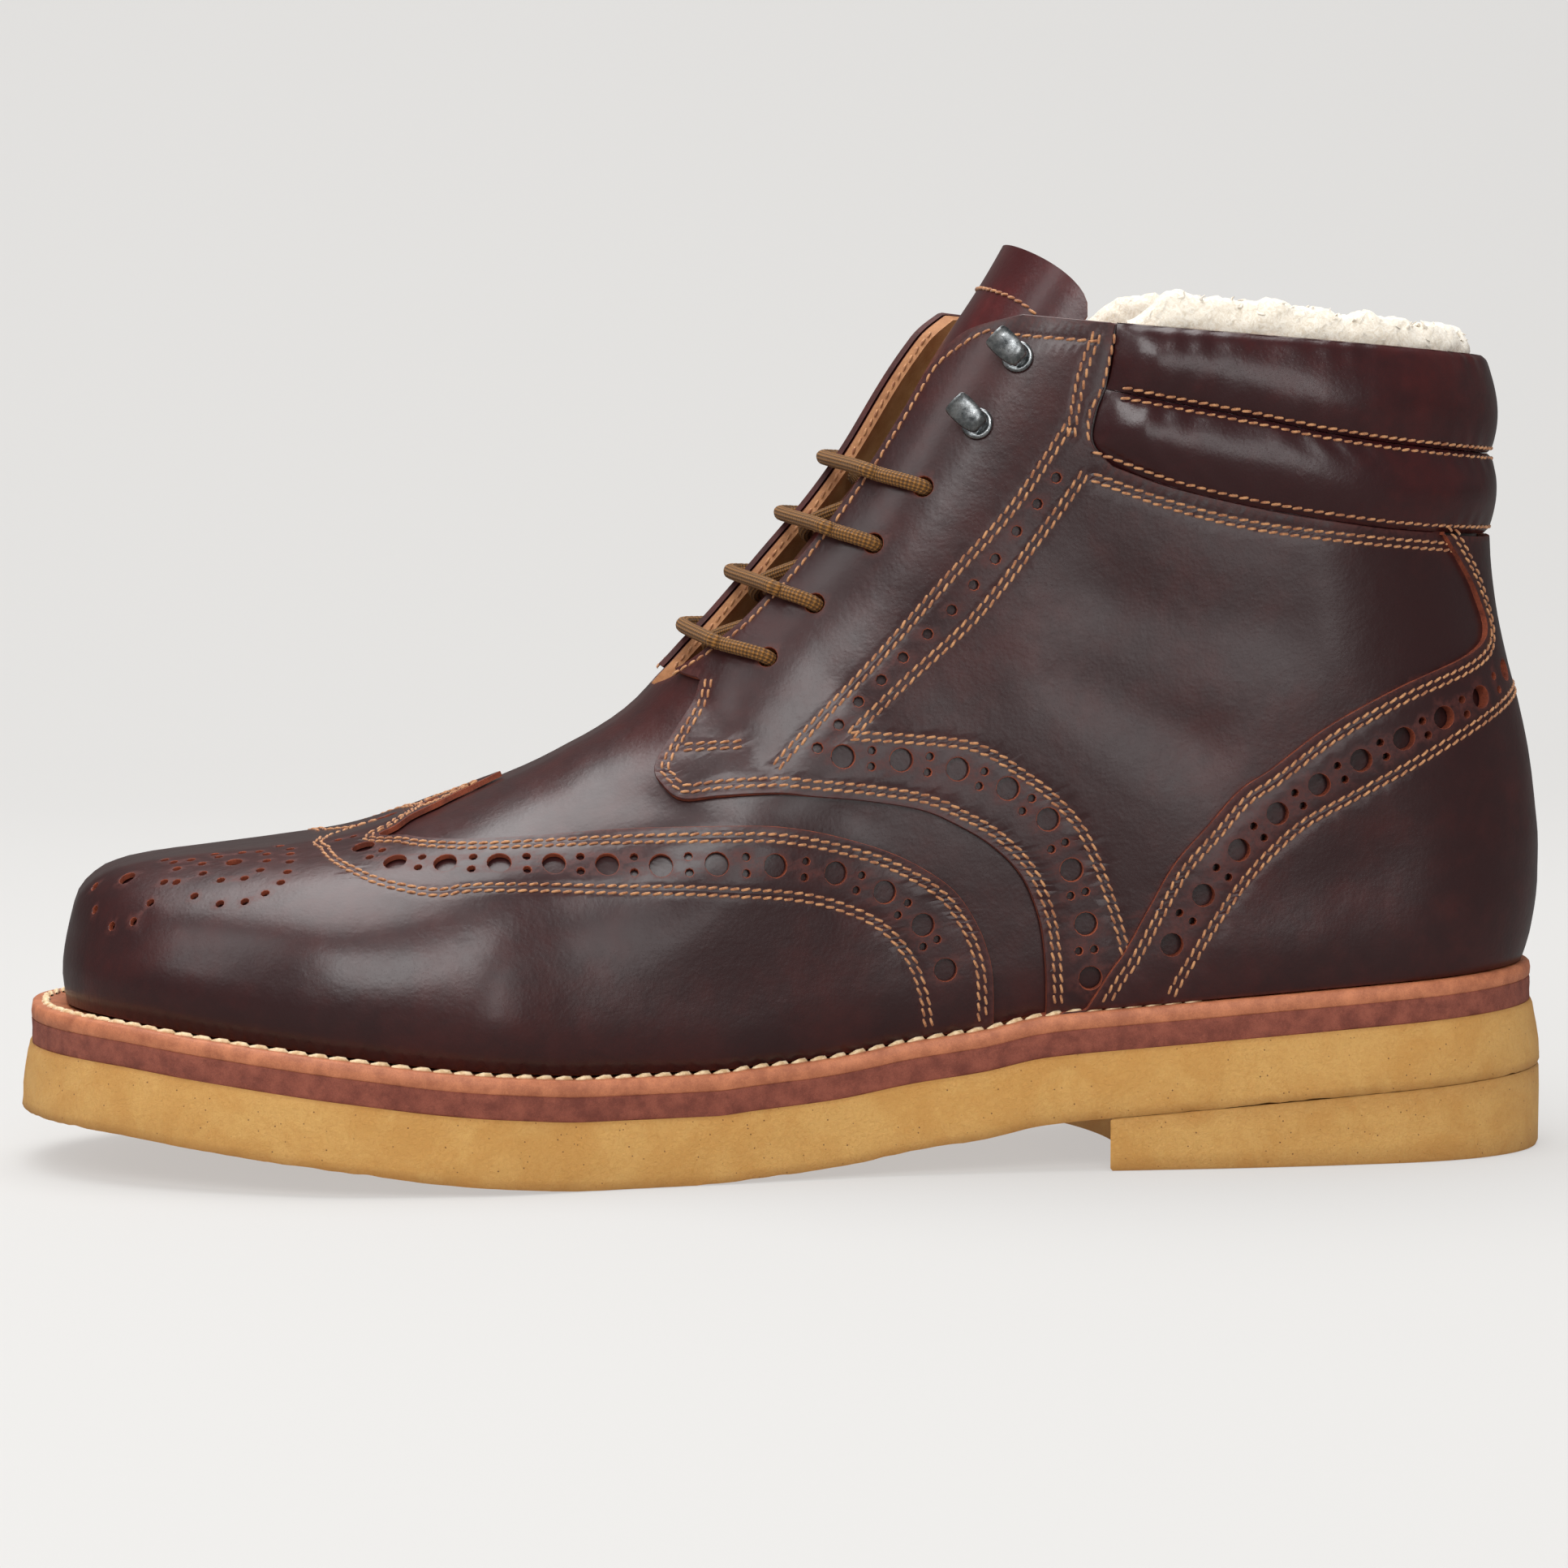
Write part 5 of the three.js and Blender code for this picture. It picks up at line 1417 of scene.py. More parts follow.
@dataclass
class Upper:
    """Vamp with its lining, wing, quarters and counter, and the rows that sew them."""

    palette: Palette

    def __post_init__(self) -> None:
        self.sewing = Sewing("seam_stitches")
        self.over = GAP + OVERLAY
        self.wing_edge = share_path(WING_EDGE)
        self.quarter_edge = share_path(QUARTER_EDGE)
        self.counter_edge = share_path(COUNTER_EDGE)
        self.collar_edge = share_path(COLLAR_EDGE)
        self.strap_edge = share_path(STRAP_EDGE)

    def lace_punches(self, side: Side, radius: float) -> list[Punch]:
        """Lace holes of one facing."""
        shift = MEDIAL_SHIFT if side is Side.MEDIAL else (0, 0)
        spots = [(float(to_x(along + shift[0])), (rise + shift[1]) * LEG_HEIGHT)
                 for along, rise in LACE_HOLES]
        return punches(spots, radius)

    def vamp(self) -> Object:
        """Outer leather and lining of the whole boot as one closed shell."""
        low = 0.0
        lateral = throat_edge(Side.LATERAL, THROAT_CLIMB, 1.0)
        medial = mirrored(throat_edge(Side.MEDIAL, THROAT_CLIMB, 1.0))
        bottom = np.stack([np.linspace(0, TURN, 240), np.full(240, low)], axis=1)
        right = np.stack([np.full(60, TURN), np.linspace(low, 1, 60)], axis=1)
        left = np.stack([np.zeros(60), np.linspace(1, low, 60)], axis=1)
        top_right = np.stack([np.linspace(TURN, medial[-1, 0], 90), np.ones(90)], axis=1)
        top_left = np.stack([np.linspace(lateral[-1, 0], 0, 90), np.ones(90)], axis=1)
        outline = np.vstack([bottom[:-1], right[:-1], top_right[:-1], medial[::-1][:-1], lateral[:-1],
                             top_left[:-1], left[:-1]])
        holes = self.lace_punches(Side.LATERAL, 2.3)
        for hole in self.lace_punches(Side.MEDIAL, 2.3):
            holes.append(Punch(TURN - hole.turn, hole.climb, hole.radius))
        panel = Panel("vamp_and_lining", outline, -WALL, 0.0, holes)
        piece = panel.build(self.palette.leather, self.palette.lining_edge, self.palette.lining)
        edge = mirrored(throat_edge(Side.MEDIAL, THROAT_CLIMB + 0.02, 0.985, 400))
        points = LAST.points(edge[:, 0], edge[:, 1], -0.6 * WALL)
        face = np.cross(np.gradient(points, axis=0), LAST.normal(*edge.T))
        face *= -np.sign(face[:, 1:2])
        self.sewing.line(points, face / np.linalg.norm(face, axis=1, keepdims=True))
        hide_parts("upper")
        return piece

    def wing(self) -> Object:
        """Punched wing over the toe."""
        edge = self.wing_edge
        guess = (float(edge[-1, 0]), float(edge[-1, 1]))
        peak = []
        for along, half in PEAK:
            found = LAST.plan_chart(float(to_x(along)), half * BALL_WIDTH, guess)
            guess = (float(found[0]), float(found[1]))
            peak.append(found)
        lateral = np.vstack([edge[:-2], smooth_path([tuple(edge[-3]), *map(tuple, peak)], 0.004)[1:]])
        self.wing_line = surface_spaced(lateral, 1.2)
        medial = mirrored(self.wing_line)[::-1]
        bottom = np.stack([np.linspace(medial[-1, 0], self.wing_line[0, 0], 160), np.zeros(160)], axis=1)
        outline = np.vstack([self.wing_line, medial, bottom[1:-1]])
        near = beside(above_welt(self.wing_line), 2.3)
        rows = [off_centre(row) for row in (*double(near), *double(side_path(WING_LOW_ROW)))]
        rows += [mirrored(row) for row in rows]
        holes = brogue_row(WING_HOLES) + self._medallion()
        holes += [Punch(TURN - hole.turn, hole.climb, hole.radius) for hole in holes]
        panel = Panel("wing", outline, GAP, self.over, holes, rows, turn_step=0.03, climb_step=0.009)
        piece = panel.build(self.palette.leather, self.palette.cut)
        for row in rows:
            self.sewing.row(row, self.over - STITCH_SINK)
        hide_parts("wing_cap")
        return piece

    def _medallion(self) -> list[Punch]:
        """Two punched flowers on the lateral half of the toe."""
        holes = []
        for x, z, rings in FLOWERS:
            centre = LAST.chart(np.array([x]), np.array([z]))[0]
            holes.append(Punch(float(centre[0]), float(centre[1]), 1.6))
            for radius, count in rings:
                angles = np.arange(count) / count * TURN + 0.2
                spots = LAST.step(np.tile(centre, (count, 1)), radius * np.cos(angles),
                                  radius * np.sin(angles))
                holes += [Punch(float(turn), float(climb), 0.85) for turn, climb in spots
                          if self._reach(turn, climb) > 1.5]
        kept: list[Punch] = []
        for hole in holes:
            spot = LAST.bare(hole.turn, hole.climb)
            gaps = [np.linalg.norm(LAST.bare(other.turn, other.climb) - spot) - other.radius
                    for other in kept]
            rim = LAST.bare(*hole.ring().T)
            longest = np.linalg.norm(rim - np.roll(rim, 1, axis=0), axis=1).max()
            if longest < 1.2 * hole.radius and all(gap > hole.radius + 0.5 for gap in gaps):
                kept.append(hole)
        return kept

    @staticmethod
    def _reach(turn: float, climb: float) -> float:
        """Distance of a lateral chart point from the centre line, negative beyond it."""
        point = LAST.bare(np.array(min(turn, math.pi)), np.array(climb))
        return float(LAST.swing(to_along(point[0])) - point[1]) if turn < math.pi else -1.0

    def quarter(self, side: Side) -> Object:
        """One punched quarter, up to the facing's edge."""
        on_medial = side is Side.MEDIAL
        front = self.quarter_edge
        limit = LAST.edge_turn(front[:, 1], side)
        beyond = np.flatnonzero((front[:, 1] > THROAT_CLIMB) & (front[:, 0] > limit))
        front = front[:beyond[0]] if len(beyond) else front
        facing = throat_edge(side, max(float(front[-1, 1]) + 0.01, THROAT_CLIMB + 0.01), 1.0)
        strap = self.strap_edge[self.strap_edge[:, 1] < 1]
        top = np.stack([np.linspace(facing[-1, 0], strap[0, 0], 30), np.ones(30)], axis=1)
        corner = self.counter_edge[0]
        collar = self.collar_edge[self.collar_edge[:, 0] > corner[0]]
        rear = self.counter_edge
        bottom = np.stack([np.linspace(rear[-1, 0], front[0, 0], 10), np.zeros(10)], axis=1)
        outline = np.vstack([front, facing, top[1:], strap[1:], collar[1:], rear, bottom[1:-1]])
        lower = beside(above_welt(front), -2.3)
        edge_row = self._edge_row(facing, strap)
        rows = [*double(lower), *double(side_path(FACING_ROW)), *double(side_path(BAND_UPPER_ROW)),
                *double(side_path(BAND_LOWER_ROW)), *double(side_path(STRAP_FRONT_ROW)), side_path(STRAP_BACK_ROW),
                *double(side_path(UNDER_COLLAR_ROW)), *double(side_path(BAR_TACK)), edge_row]
        holes = brogue_row(BAND_HOLES) + punches(BAND_SMALL_HOLES, 1.05) + self.lace_punches(side, 2.05)
        name = "quarter_outer" if side is Side.LATERAL else "quarter_inner"
        panel = Panel(name, outline, GAP, self.over, holes, rows, on_medial)
        # The medial quarter's cut edges take the darker copy of the cut edge: painted shade.
        piece = panel.build(self.palette.leather, self.palette.shaded_cut if on_medial else self.palette.cut)
        for row in rows:
            self.sewing.row(row, self.over - STITCH_SINK, on_medial)
        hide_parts("quarter_medial" if on_medial else "quarter_lateral")
        return piece

    @staticmethod
    def _edge_row(facing: Array, strap: Array) -> Array:
        """Single row along a facing's edge, round its corner and along the top line to the strap."""
        rise = beside(facing, -1.6)
        rise = rise[rise[:, 1] < 0.962][::4]
        turns = np.linspace(rise[-1, 0] - 0.13, strap[0, 0] + 0.03, 8)
        along = np.stack([turns, np.full(8, 0.979)], axis=1)
        return smooth_path([*map(tuple, rise), *map(tuple, along)], 0.004)

    def counter(self) -> Object:
        """Punched heel counter with its back strap."""
        edge = beside(self.counter_edge, -GAP)[::-1]
        roof = beside(self.collar_edge, -2 * GAP)
        roof = roof[(roof[:, 0] < edge[-1, 0]) & (roof[:, 0] > 0.01)]
        lateral = np.vstack([edge, roof])
        other = lateral[::-1] * np.array([-1, 1])
        bottom = np.stack([np.linspace(other[-1, 0], lateral[0, 0], 80), np.zeros(80)], axis=1)
        outline = np.vstack([lateral, other, bottom[1:-1]])
        low_row = side_path(COUNTER_LOW_ROW)
        near = beside(above_welt(edge), -2.4)
        rows = [*double(near), *double(low_row)]
        rows += [row * np.array([-1, 1]) for row in rows]
        holes = brogue_row(COUNTER_HOLES)
        holes += [Punch(-hole.turn, hole.climb, hole.radius) for hole in holes]
        top = GAP + COUNTER
        panel = Panel("heel_counter", outline, GAP, top, holes, rows, climb_step=0.02)
        piece = panel.build(self.palette.leather, self.palette.cut)
        for row in rows:
            self.sewing.row(row, top - STITCH_SINK)
        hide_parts("counter")
        return piece

    def build(self) -> None:
        """Makes every piece of the upper."""
        for piece in (self.vamp(), self.wing(), self.quarter(Side.LATERAL), self.quarter(Side.MEDIAL),
                      self.counter(), self.sewing.build(self.palette.thread)):
            settle(piece)


@dataclass
class Collar:
    """The two padded rolls and the stitching between them."""

    palette: Palette

    def __post_init__(self) -> None:
        self.collar_rise = Curve.through([(a, r) for a, r in COLLAR_EDGE][::-1], LEG_HEIGHT)
        self.roll_rise = Curve.through([(a, r) for a, r in ROLL_SEAM_LINE][::-1], LEG_HEIGHT)
        strap = share_path(STRAP_EDGE)
        self.strap_turn = Curve.through(sorted({round(float(c), 4): float(t) for t, c in strap}.items()))

    def climb_at(self, turn: Array, rise: Curve, extra: float) -> Array:
        """Climb at which the surface reaches a seam's height, by turn."""
        climb = np.full_like(turn, 0.85)
        for _ in range(30):
            x, z = LAST.side_point((1 - np.cos(turn)) / 2, climb)
            climb = climb + (rise(to_along(x)) + extra - z) / 130
        return climb

    @staticmethod
    def crown(upper: bool, share: float, width: Array | float) -> Array:
        """Height of a roll's face over its width: a soft crown between two sewn valleys.

        Args:
            upper: Whether it is the upper roll.
            share: Share of the way from the lower to the upper seam.
            width: Distance between the seams.

        Returns:
            Height above the leather underneath.
        """
        low = 1 - np.exp(-((share * width / 0.6) ** 2))
        high = 1 - np.exp(-(((1 - share) * width / 0.6) ** 2))
        foot = 1.9 - 0.9 * share if upper else 1.0 + 0.9 * share
        return foot + 0.5 * low * high + (ROLL_BULGE - 1.2) * np.sin(np.pi * share) ** 0.8

    def band(self, upper: bool, around: Array, share: float) -> tuple[Array, Array, Array]:
        """Line on the last between a roll's two seams.

        Args:
            upper: Whether it is the upper roll.
            around: From -1 at the lateral strap to 1 at the medial one.
            share: Share of the way from the lower to the upper seam.

        Returns:
            Turns, climbs and the distances between the seams.
        """
        climb = np.full_like(around, 0.96 if upper else 0.9)
        for _ in range(4):
            turn = around * (self.strap_turn(np.clip(climb, 0.8, 1.0)) - 0.012)
            low = self.climb_at(np.abs(turn), self.roll_rise if upper else self.collar_rise, 0.1)
            high = np.ones_like(turn) if upper else self.climb_at(np.abs(turn), self.roll_rise, 0.0)
            climb = low + (high - low) * share
        return turn, climb, (high - low) * (LEG_HEIGHT - LAST.seat)

    def roll(self, upper: bool) -> Object:
        """One roll, as a closed crowned band."""
        columns, profile = 320, 30
        share = (1 - np.cos(np.linspace(0, math.pi, profile))) / 2
        reach = float(self.strap_turn(0.97 if upper else 0.9)) - 0.012
        turns = np.linspace(-reach, reach, columns)
        size = np.abs(turns)
        rows, back = [], []
        for s in share:
            turn, climb, width = self.band(upper, turns / reach, s)
            near = np.exp(-((np.minimum(s, 1 - s) * width / 3.0) ** 2))
            pucker = 0.16 * near * np.sin(turns * 47 + 2 * np.sin(turns * 11)) * (0 < s < 1)
            swell = 0.3 * np.sin(turns * 6.1 + 2.3 * s + (1 if upper else 2.6)) * np.sin(math.pi * s)
            end = 0.12 + 0.88 * np.sqrt(smooth_step(reach - size, 0.0, 0.16))
            offset = GAP + (self.crown(upper, s, width) + swell) * end + pucker
            rows.append(LAST.points(turn, climb, offset))
            back.append(LAST.points(turn, climb, 0.15))
        if upper:
            inner = LAST.points(turns / reach * (self.strap_turn(1.0) - 0.012), np.ones(columns), -WALL * 0.4)
            inner[:, 2] += 0.2
            rows.append(inner)
        rows += back[::-1]
        points = np.vstack(rows)
        count = len(rows)
        faces = Meshes.grid(count, columns)
        for column in range(columns - 1):
            a, b = (count - 1) * columns + column, column
            faces.append([a, b, b + 1, a + 1])
        for start in (0, columns - 1):
            loop = [row * columns + start for row in range(count)]
            faces.append(loop if start == 0 else loop[::-1])
        name = "collar_roll_upper" if upper else "collar_roll_lower"
        wear = np.zeros(len(points))
        piece = Meshes.make(name, points, faces, [self.palette.roll], values={"wear": wear}, sharp=1.2,
                           closed=True)
        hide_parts("collar_upper_roll" if upper else "collar_lower_roll")
        return piece

    def build(self) -> None:
        """Makes both rolls and their stitches."""
        sewing = Sewing("collar_stitches")
        turns = np.linspace(0.05, float(self.strap_turn(0.9)) - 0.05, 160)
        seam = np.stack([turns, self.climb_at(turns, self.roll_rise, 0.0)], axis=1)
        band = 14.0
        for move in (1.0, -1.0):
            height = self.crown(move < 0, 1.0 / band if move < 0 else 1 - 1.0 / band, band)
            for on_medial in (False, True):
                sewing.row(beside(seam, move), GAP + float(height) - 0.12, on_medial)
        low = np.stack([turns, self.climb_at(turns, self.collar_rise, 1.4)], axis=1)
        height = float(self.crown(False, 1.3 / band, band)) - 0.12
        sewing.row(low, GAP + height)
        sewing.row(low, GAP + height, True)
        for piece in (self.roll(False), self.roll(True), sewing.build(self.palette.thread)):
            settle(piece)


@dataclass
class Tongue:
    """Leather tongue with a stitched tip."""

    palette: Palette

    def __post_init__(self) -> None:
        drop = WALL + LACE + 4 * GAP
        rows = ((0.47, 0.34, 0.5), (0.55, 0.52, 0.7), (0.61, 0.7, 1), (0.8, 0.84, 1), (0.92, 0.92, 1),
                (0.99, 0.965, 1), (1.08, 0.97, 1))
        self.half = Curve.through([(climb, half) for climb, half, _ in rows], LEG_WIDTH / 2)
        self.depth = Curve.through([(climb, share) for climb, _, share in rows], drop)

    def spot(self, across: Array, share: Array, lift: float) -> tuple[Array, Array]:
        """Points and normals of the tongue.

        Args:
            across: From -1 at the lateral edge to 1 at the medial one.
            share: From 0 at the foot to 1 at the tip.
            lift: Distance above the tongue's outer face.

        Returns:
            Points and normals.
        """
        tip = 0.995 + 0.088 * np.sqrt(1 - 0.97 * across**2)
        climb = 0.47 + (tip - 0.47) * share
        turn = math.pi + across * (math.pi - LAST.narrow_turn(climb, self.half(climb)))
        wave = 0.25 * np.sin(climb * 40 + across * 2) * (1 - np.abs(across))
        return LAST.points(turn, climb, -self.depth(climb) + lift + wave), LAST.normal(turn, climb)

    def build(self) -> None:
        """Makes the tongue and its stitches."""
        rows, columns = 90, 41
        share, across = np.meshgrid(np.linspace(0, 1, rows), np.linspace(-1, 1, columns), indexing="ij")
        outer = self.spot(across.ravel(), share.ravel(), 0.0)[0]
        inner = self.spot(across.ravel(), share.ravel(), -TONGUE * 0.8)[0]
        count = rows * columns
        front = Meshes.grid(rows, columns)
        faces = [face[::-1] for face in front] + [[i + count for i in face] for face in front]
        ring = ([(0, c) for c in range(columns)] + [(r, columns - 1) for r in range(1, rows)]
                + [(rows - 1, c) for c in range(columns - 2, -1, -1)]
                + [(r, 0) for r in range(rows - 2, 0, -1)])
        numbers = [r * columns + c for r, c in ring]
        for a, b in zip(numbers, numbers[1:] + numbers[:1]):
            faces.append([a, b, b + count, a + count])
        slots = np.array([0] * len(front) + [2] * len(front) + [1] * len(numbers))
        piece = Meshes.make("tongue_leaf", np.vstack([outer, inner]), faces,
                            [self.palette.tongue, self.palette.cut, self.palette.lining], slots,
                            values={"wear": np.zeros(2 * count)}, sharp=0.7, closed=True)
        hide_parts("tongue")
        sewing = Sewing("tongue_stitches", radius=0.32)
        side = np.linspace(-0.9, 0.9, 200)
        points, normals = self.spot(side, np.full_like(side, 0.93) - 0.05 * np.abs(side) ** 6, 0.1)
        sewing.line(points, normals)
        for made in (piece, sewing.build(self.palette.thread)):
            settle(made)


@dataclass
class Fur:
    """Shearling inside the collar: a lumpy pile with curled locks along its top."""

    palette: Palette

    def __post_init__(self) -> None:
        self.scale = FUR_RISE / FUR_CLIMB / (LEG_HEIGHT - LAST.seat)

    def front_turn(self, climb: Array) -> Array:
        """Turn at which the pile ends toward the facing."""
        back = LAST.back_x(LAST.back_z(climb))
        share = (back - float(to_x(FUR_ALONG))) / (back - LAST.front_x(climb))
        return np.arccos(1 - 2 * share)

    @staticmethod
    def front_fall(reach: float, turn: Array, height: float) -> tuple[Array, Array]:
        """How far the pile falls toward its front ends, and how far up the pile that counts.

        Args:
            reach: Turn of the front end.
            turn: Turns of the points.
            height: Height over the top line, as a share of the climb.

        Returns:
            Shares from 0 to 1.
        """
        fall = 1 - smooth_step(reach - np.abs(turn), 0.0, FUR_FRONT)
        return fall, smooth_step(np.array(height), -0.02, 0.03)

    def build(self) -> None:
        """Makes the pile and its locks."""
        columns, rows = 260, 46
        shares = np.linspace(0, 1, rows)
        heights = np.interp(shares, [0, 0.2, 0.5, 0.64, 0.74, 0.82, 0.9, 1],
                            [-0.3, -0.15, 0, 0.03, FUR_CLIMB, 0.034, 0.012, -0.02])
        depths = np.interp(shares, [0, 0.08, 0.4, 0.62, 0.74, 0.82, 0.9, 1],
                           [0.15, 0.75, 1, 0.85, 0.45, 0, -0.3, -0.1])
        inner = WALL + 3 * GAP
        points = []
        for height, depth in zip(heights, depths):
            climb = 1 + height * self.scale
            reach = float(self.front_turn(np.array(climb)))
            turn = np.linspace(-reach, reach, columns)
            lump = (0.5 * np.sin(turn * 43 + height * 210) * np.sin(turn * 17 + height * 90)
                    + 0.35 * np.sin(turn * 97 + height * 400 + 1.3)
                    + 0.25 * np.sin(turn * 171 - height * 620))
            wave = 0.9 * np.sin(turn * 9 + 1) * np.sin(turn * 23)
            spot = LAST.points(turn, np.full(columns, climb), -inner - depth * FUR_DEPTH - 0.55 * lump)
            fall, above = self.front_fall(reach, turn, height)
            spot[:, 2] += (wave + 0.5 * lump) * above * (1 - fall) - FUR_DROP * fall * above
            points.append(spot)
        pile = Meshes.make("shearling_pile", np.vstack(points), Meshes.grid(rows, columns),
                           [self.palette.wool], sharp=3.0)
        solid = pile.modifiers.new("thickness", "SOLIDIFY")
        solid.thickness = 0.8 * MM
        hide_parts("fur_lining")
        locks = self.locks()
        for piece in (pile, locks):
            settle(piece)

    def locks(self) -> Object:
        """Curled locks over the pile."""
        chance = np.random.default_rng(7)
        points, faces, start = [], [], 0
        sides, rings = 4, 6
        for _ in range(LOCK_COUNT):
            height = float(chance.uniform(-0.05, 0.036))
            climb = 1 + height * self.scale
            reach = float(self.front_turn(np.array(climb)))
            turn = float(chance.uniform(-reach, reach)) * 0.99
            depth = float(np.interp(height, [-0.05, 0, 0.02, 0.036], [1.0, 0.95, 0.9, 0.6])) * FUR_DEPTH
            depth *= float(chance.uniform(-0.3, 1.05)) if height > 0 else 1.0
            root = LAST.points(np.array(turn), np.array(climb), -(WALL + 3 * GAP) - depth)
            fall, above = self.front_fall(reach, np.array(turn), height)
            root[2] -= FUR_DROP * float(fall) * float(above)
            normal = LAST.normal(np.array(turn), np.array(climb))
            lean = chance.normal(0, 1, 3)
            up = -normal * 0.55 + np.array([0, 0, 0.75 if height > -0.01 else 0.2]) + 0.55 * lean
            up /= np.linalg.norm(up)
            side = np.cross(up, chance.normal(0, 1, 3))
            side /= np.linalg.norm(side)
            third = np.cross(up, side)
            length = float(chance.uniform(1.2, 2.4))
            curl = float(chance.uniform(0.25, 0.7))
            thick = float(chance.uniform(0.35, 0.6))
            for ring in range(rings):
                t = ring / (rings - 1)
                swing = t * 4.5
                middle = (root + up * (length * t * (1 - 0.25 * t)) + side * curl * math.sin(swing)
                          + third * curl * (1 - math.cos(swing)) * 0.6)
                size = thick * (1 - 0.75 * t * t)
                for i in range(sides):
                    angle = i / sides * TURN
                    points.append(middle + side * size * math.cos(angle) + third * size * math.sin(angle))
            for ring in range(rings - 1):
                for i in range(sides):
                    a, b = start + ring * sides + i, start + ring * sides + (i + 1) % sides
                    faces.append([a, b, b + sides, a + sides])
            faces.append([start + (rings - 1) * sides + i for i in range(sides)])
            start += sides * rings
        return Meshes.make("shearling_locks", np.array(points), faces, [self.palette.wool], sharp=3.0)


@dataclass
class Lace:
    """Braided lace through the four lower pairs of holes."""

    palette: Palette

    def __post_init__(self) -> None:
        self.over = GAP + OVERLAY + GAP + LACE / 2
        self.under = -(WALL + 2 * GAP + LACE / 2)

    def hole(self, row: tuple[float, float], side: Side) -> Array:
        """Chart point of a hole, measured as on the lateral side."""
        shift = MEDIAL_SHIFT if side is Side.MEDIAL else (0, 0)
        x = float(to_x(row[0] + shift[0]))
        return LAST.chart(np.array([x]), np.array([(row[1] + shift[1]) * LEG_HEIGHT]))[0]

    def station(self, row: tuple[float, float], side: Side, toward: float, offset: float,
                lift: float) -> Array:
        """Point of the lace.

        Args:
            row: Hole in the side view.
            side: Side of the boot.
            toward: Share of the way from the hole to the facing's edge.
            offset: Distance from the last.
            lift: Share of the climb to the medial hole that the lateral side has made.

        Returns:
            The point.
        """
        turn, climb = self.hole(row, side)
        if side is Side.LATERAL:
            climb += (self.hole(row, Side.MEDIAL)[1] - climb) * lift
        edge = float(LAST.edge_turn(np.array(climb), side))
        moved = turn + (edge - turn) * toward
        moved = moved if side is Side.LATERAL else TURN - moved
        return LAST.points(np.array(moved), np.array(climb), offset)

    def side(self, row: tuple[float, float], side: Side) -> list[Array]:
        """Points from under the facing to its edge, through the hole."""
        plan = ((1, 1, 0, 0), (0.4, 1, 0, 0), (0.06, 0.86, 0, 0), (0, 0.27, 0, 0), (0.02, 0, 0.57, 0),
                (0.24, 0, 1, 0.15), (0.6, 0, 1, 0.4), (1, 0, 1, 0.68))
        return [self.station(row, side, toward, under * self.under + over * self.over, lift)
                for toward, under, over, lift in plan]

    def path(self) -> Array:
        """Middle line of the lace."""
        points = []
        for number, row in enumerate(LACE_HOLES):
            points += self.side(row, Side.LATERAL) + self.side(row, Side.MEDIAL)[::-1]
            if number + 1 < len(LACE_HOLES):
                above = self.hole(LACE_HOLES[number + 1], Side.LATERAL)[1]
                climb = (self.hole(row, Side.MEDIAL)[1] + above) / 2
                points.append(LAST.points(np.array(math.pi), np.array(climb), self.under))
        return smooth_path(np.array(points), LACE_STEP)

    def build(self) -> None:
        """Makes the lace."""
        path = self.path()
        sides = 16
        tangent = np.gradient(path, axis=0)
        tangent /= np.linalg.norm(tangent, axis=1, keepdims=True)
        normal = np.zeros_like(path)
        normal[0] = np.cross(tangent[0], [0, 1, 0])
        normal[0] /= np.linalg.norm(normal[0])
        for i in range(1, len(path)):
            turned = normal[i - 1] - tangent[i] * np.dot(normal[i - 1], tangent[i])
            normal[i] = turned / np.linalg.norm(turned)
        third = np.cross(tangent, normal)
        angles = np.arange(sides) / sides * TURN
        along = np.arange(len(path))[:, None] * LACE_STEP + np.zeros(sides)
        around = np.zeros(len(path))[:, None] + angles
        run, twist = along * WEAVE_RATE, around * WEAVE_STRANDS
        weave = np.sin(run + twist) * np.sin(run - twist)
        radius = LACE / 2 * (0.97 + 0.05 * weave)
        points = (path[:, None] + normal[:, None] * (radius * np.cos(around))[..., None]
                  + third[:, None] * (radius * np.sin(around))[..., None])
        faces = Meshes.grid(len(path), sides, closed=True)
        faces += [list(range(sides)), [(len(path) - 1) * sides + i for i in range(sides)][::-1]]
        piece = Meshes.make("lace_cord", points.reshape(-1, 3), faces, [self.palette.braid], sharp=3.0,
                            values={"along": along.ravel(), "round": around.ravel()}, closed=True)
        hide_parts("lace")
        settle(piece)


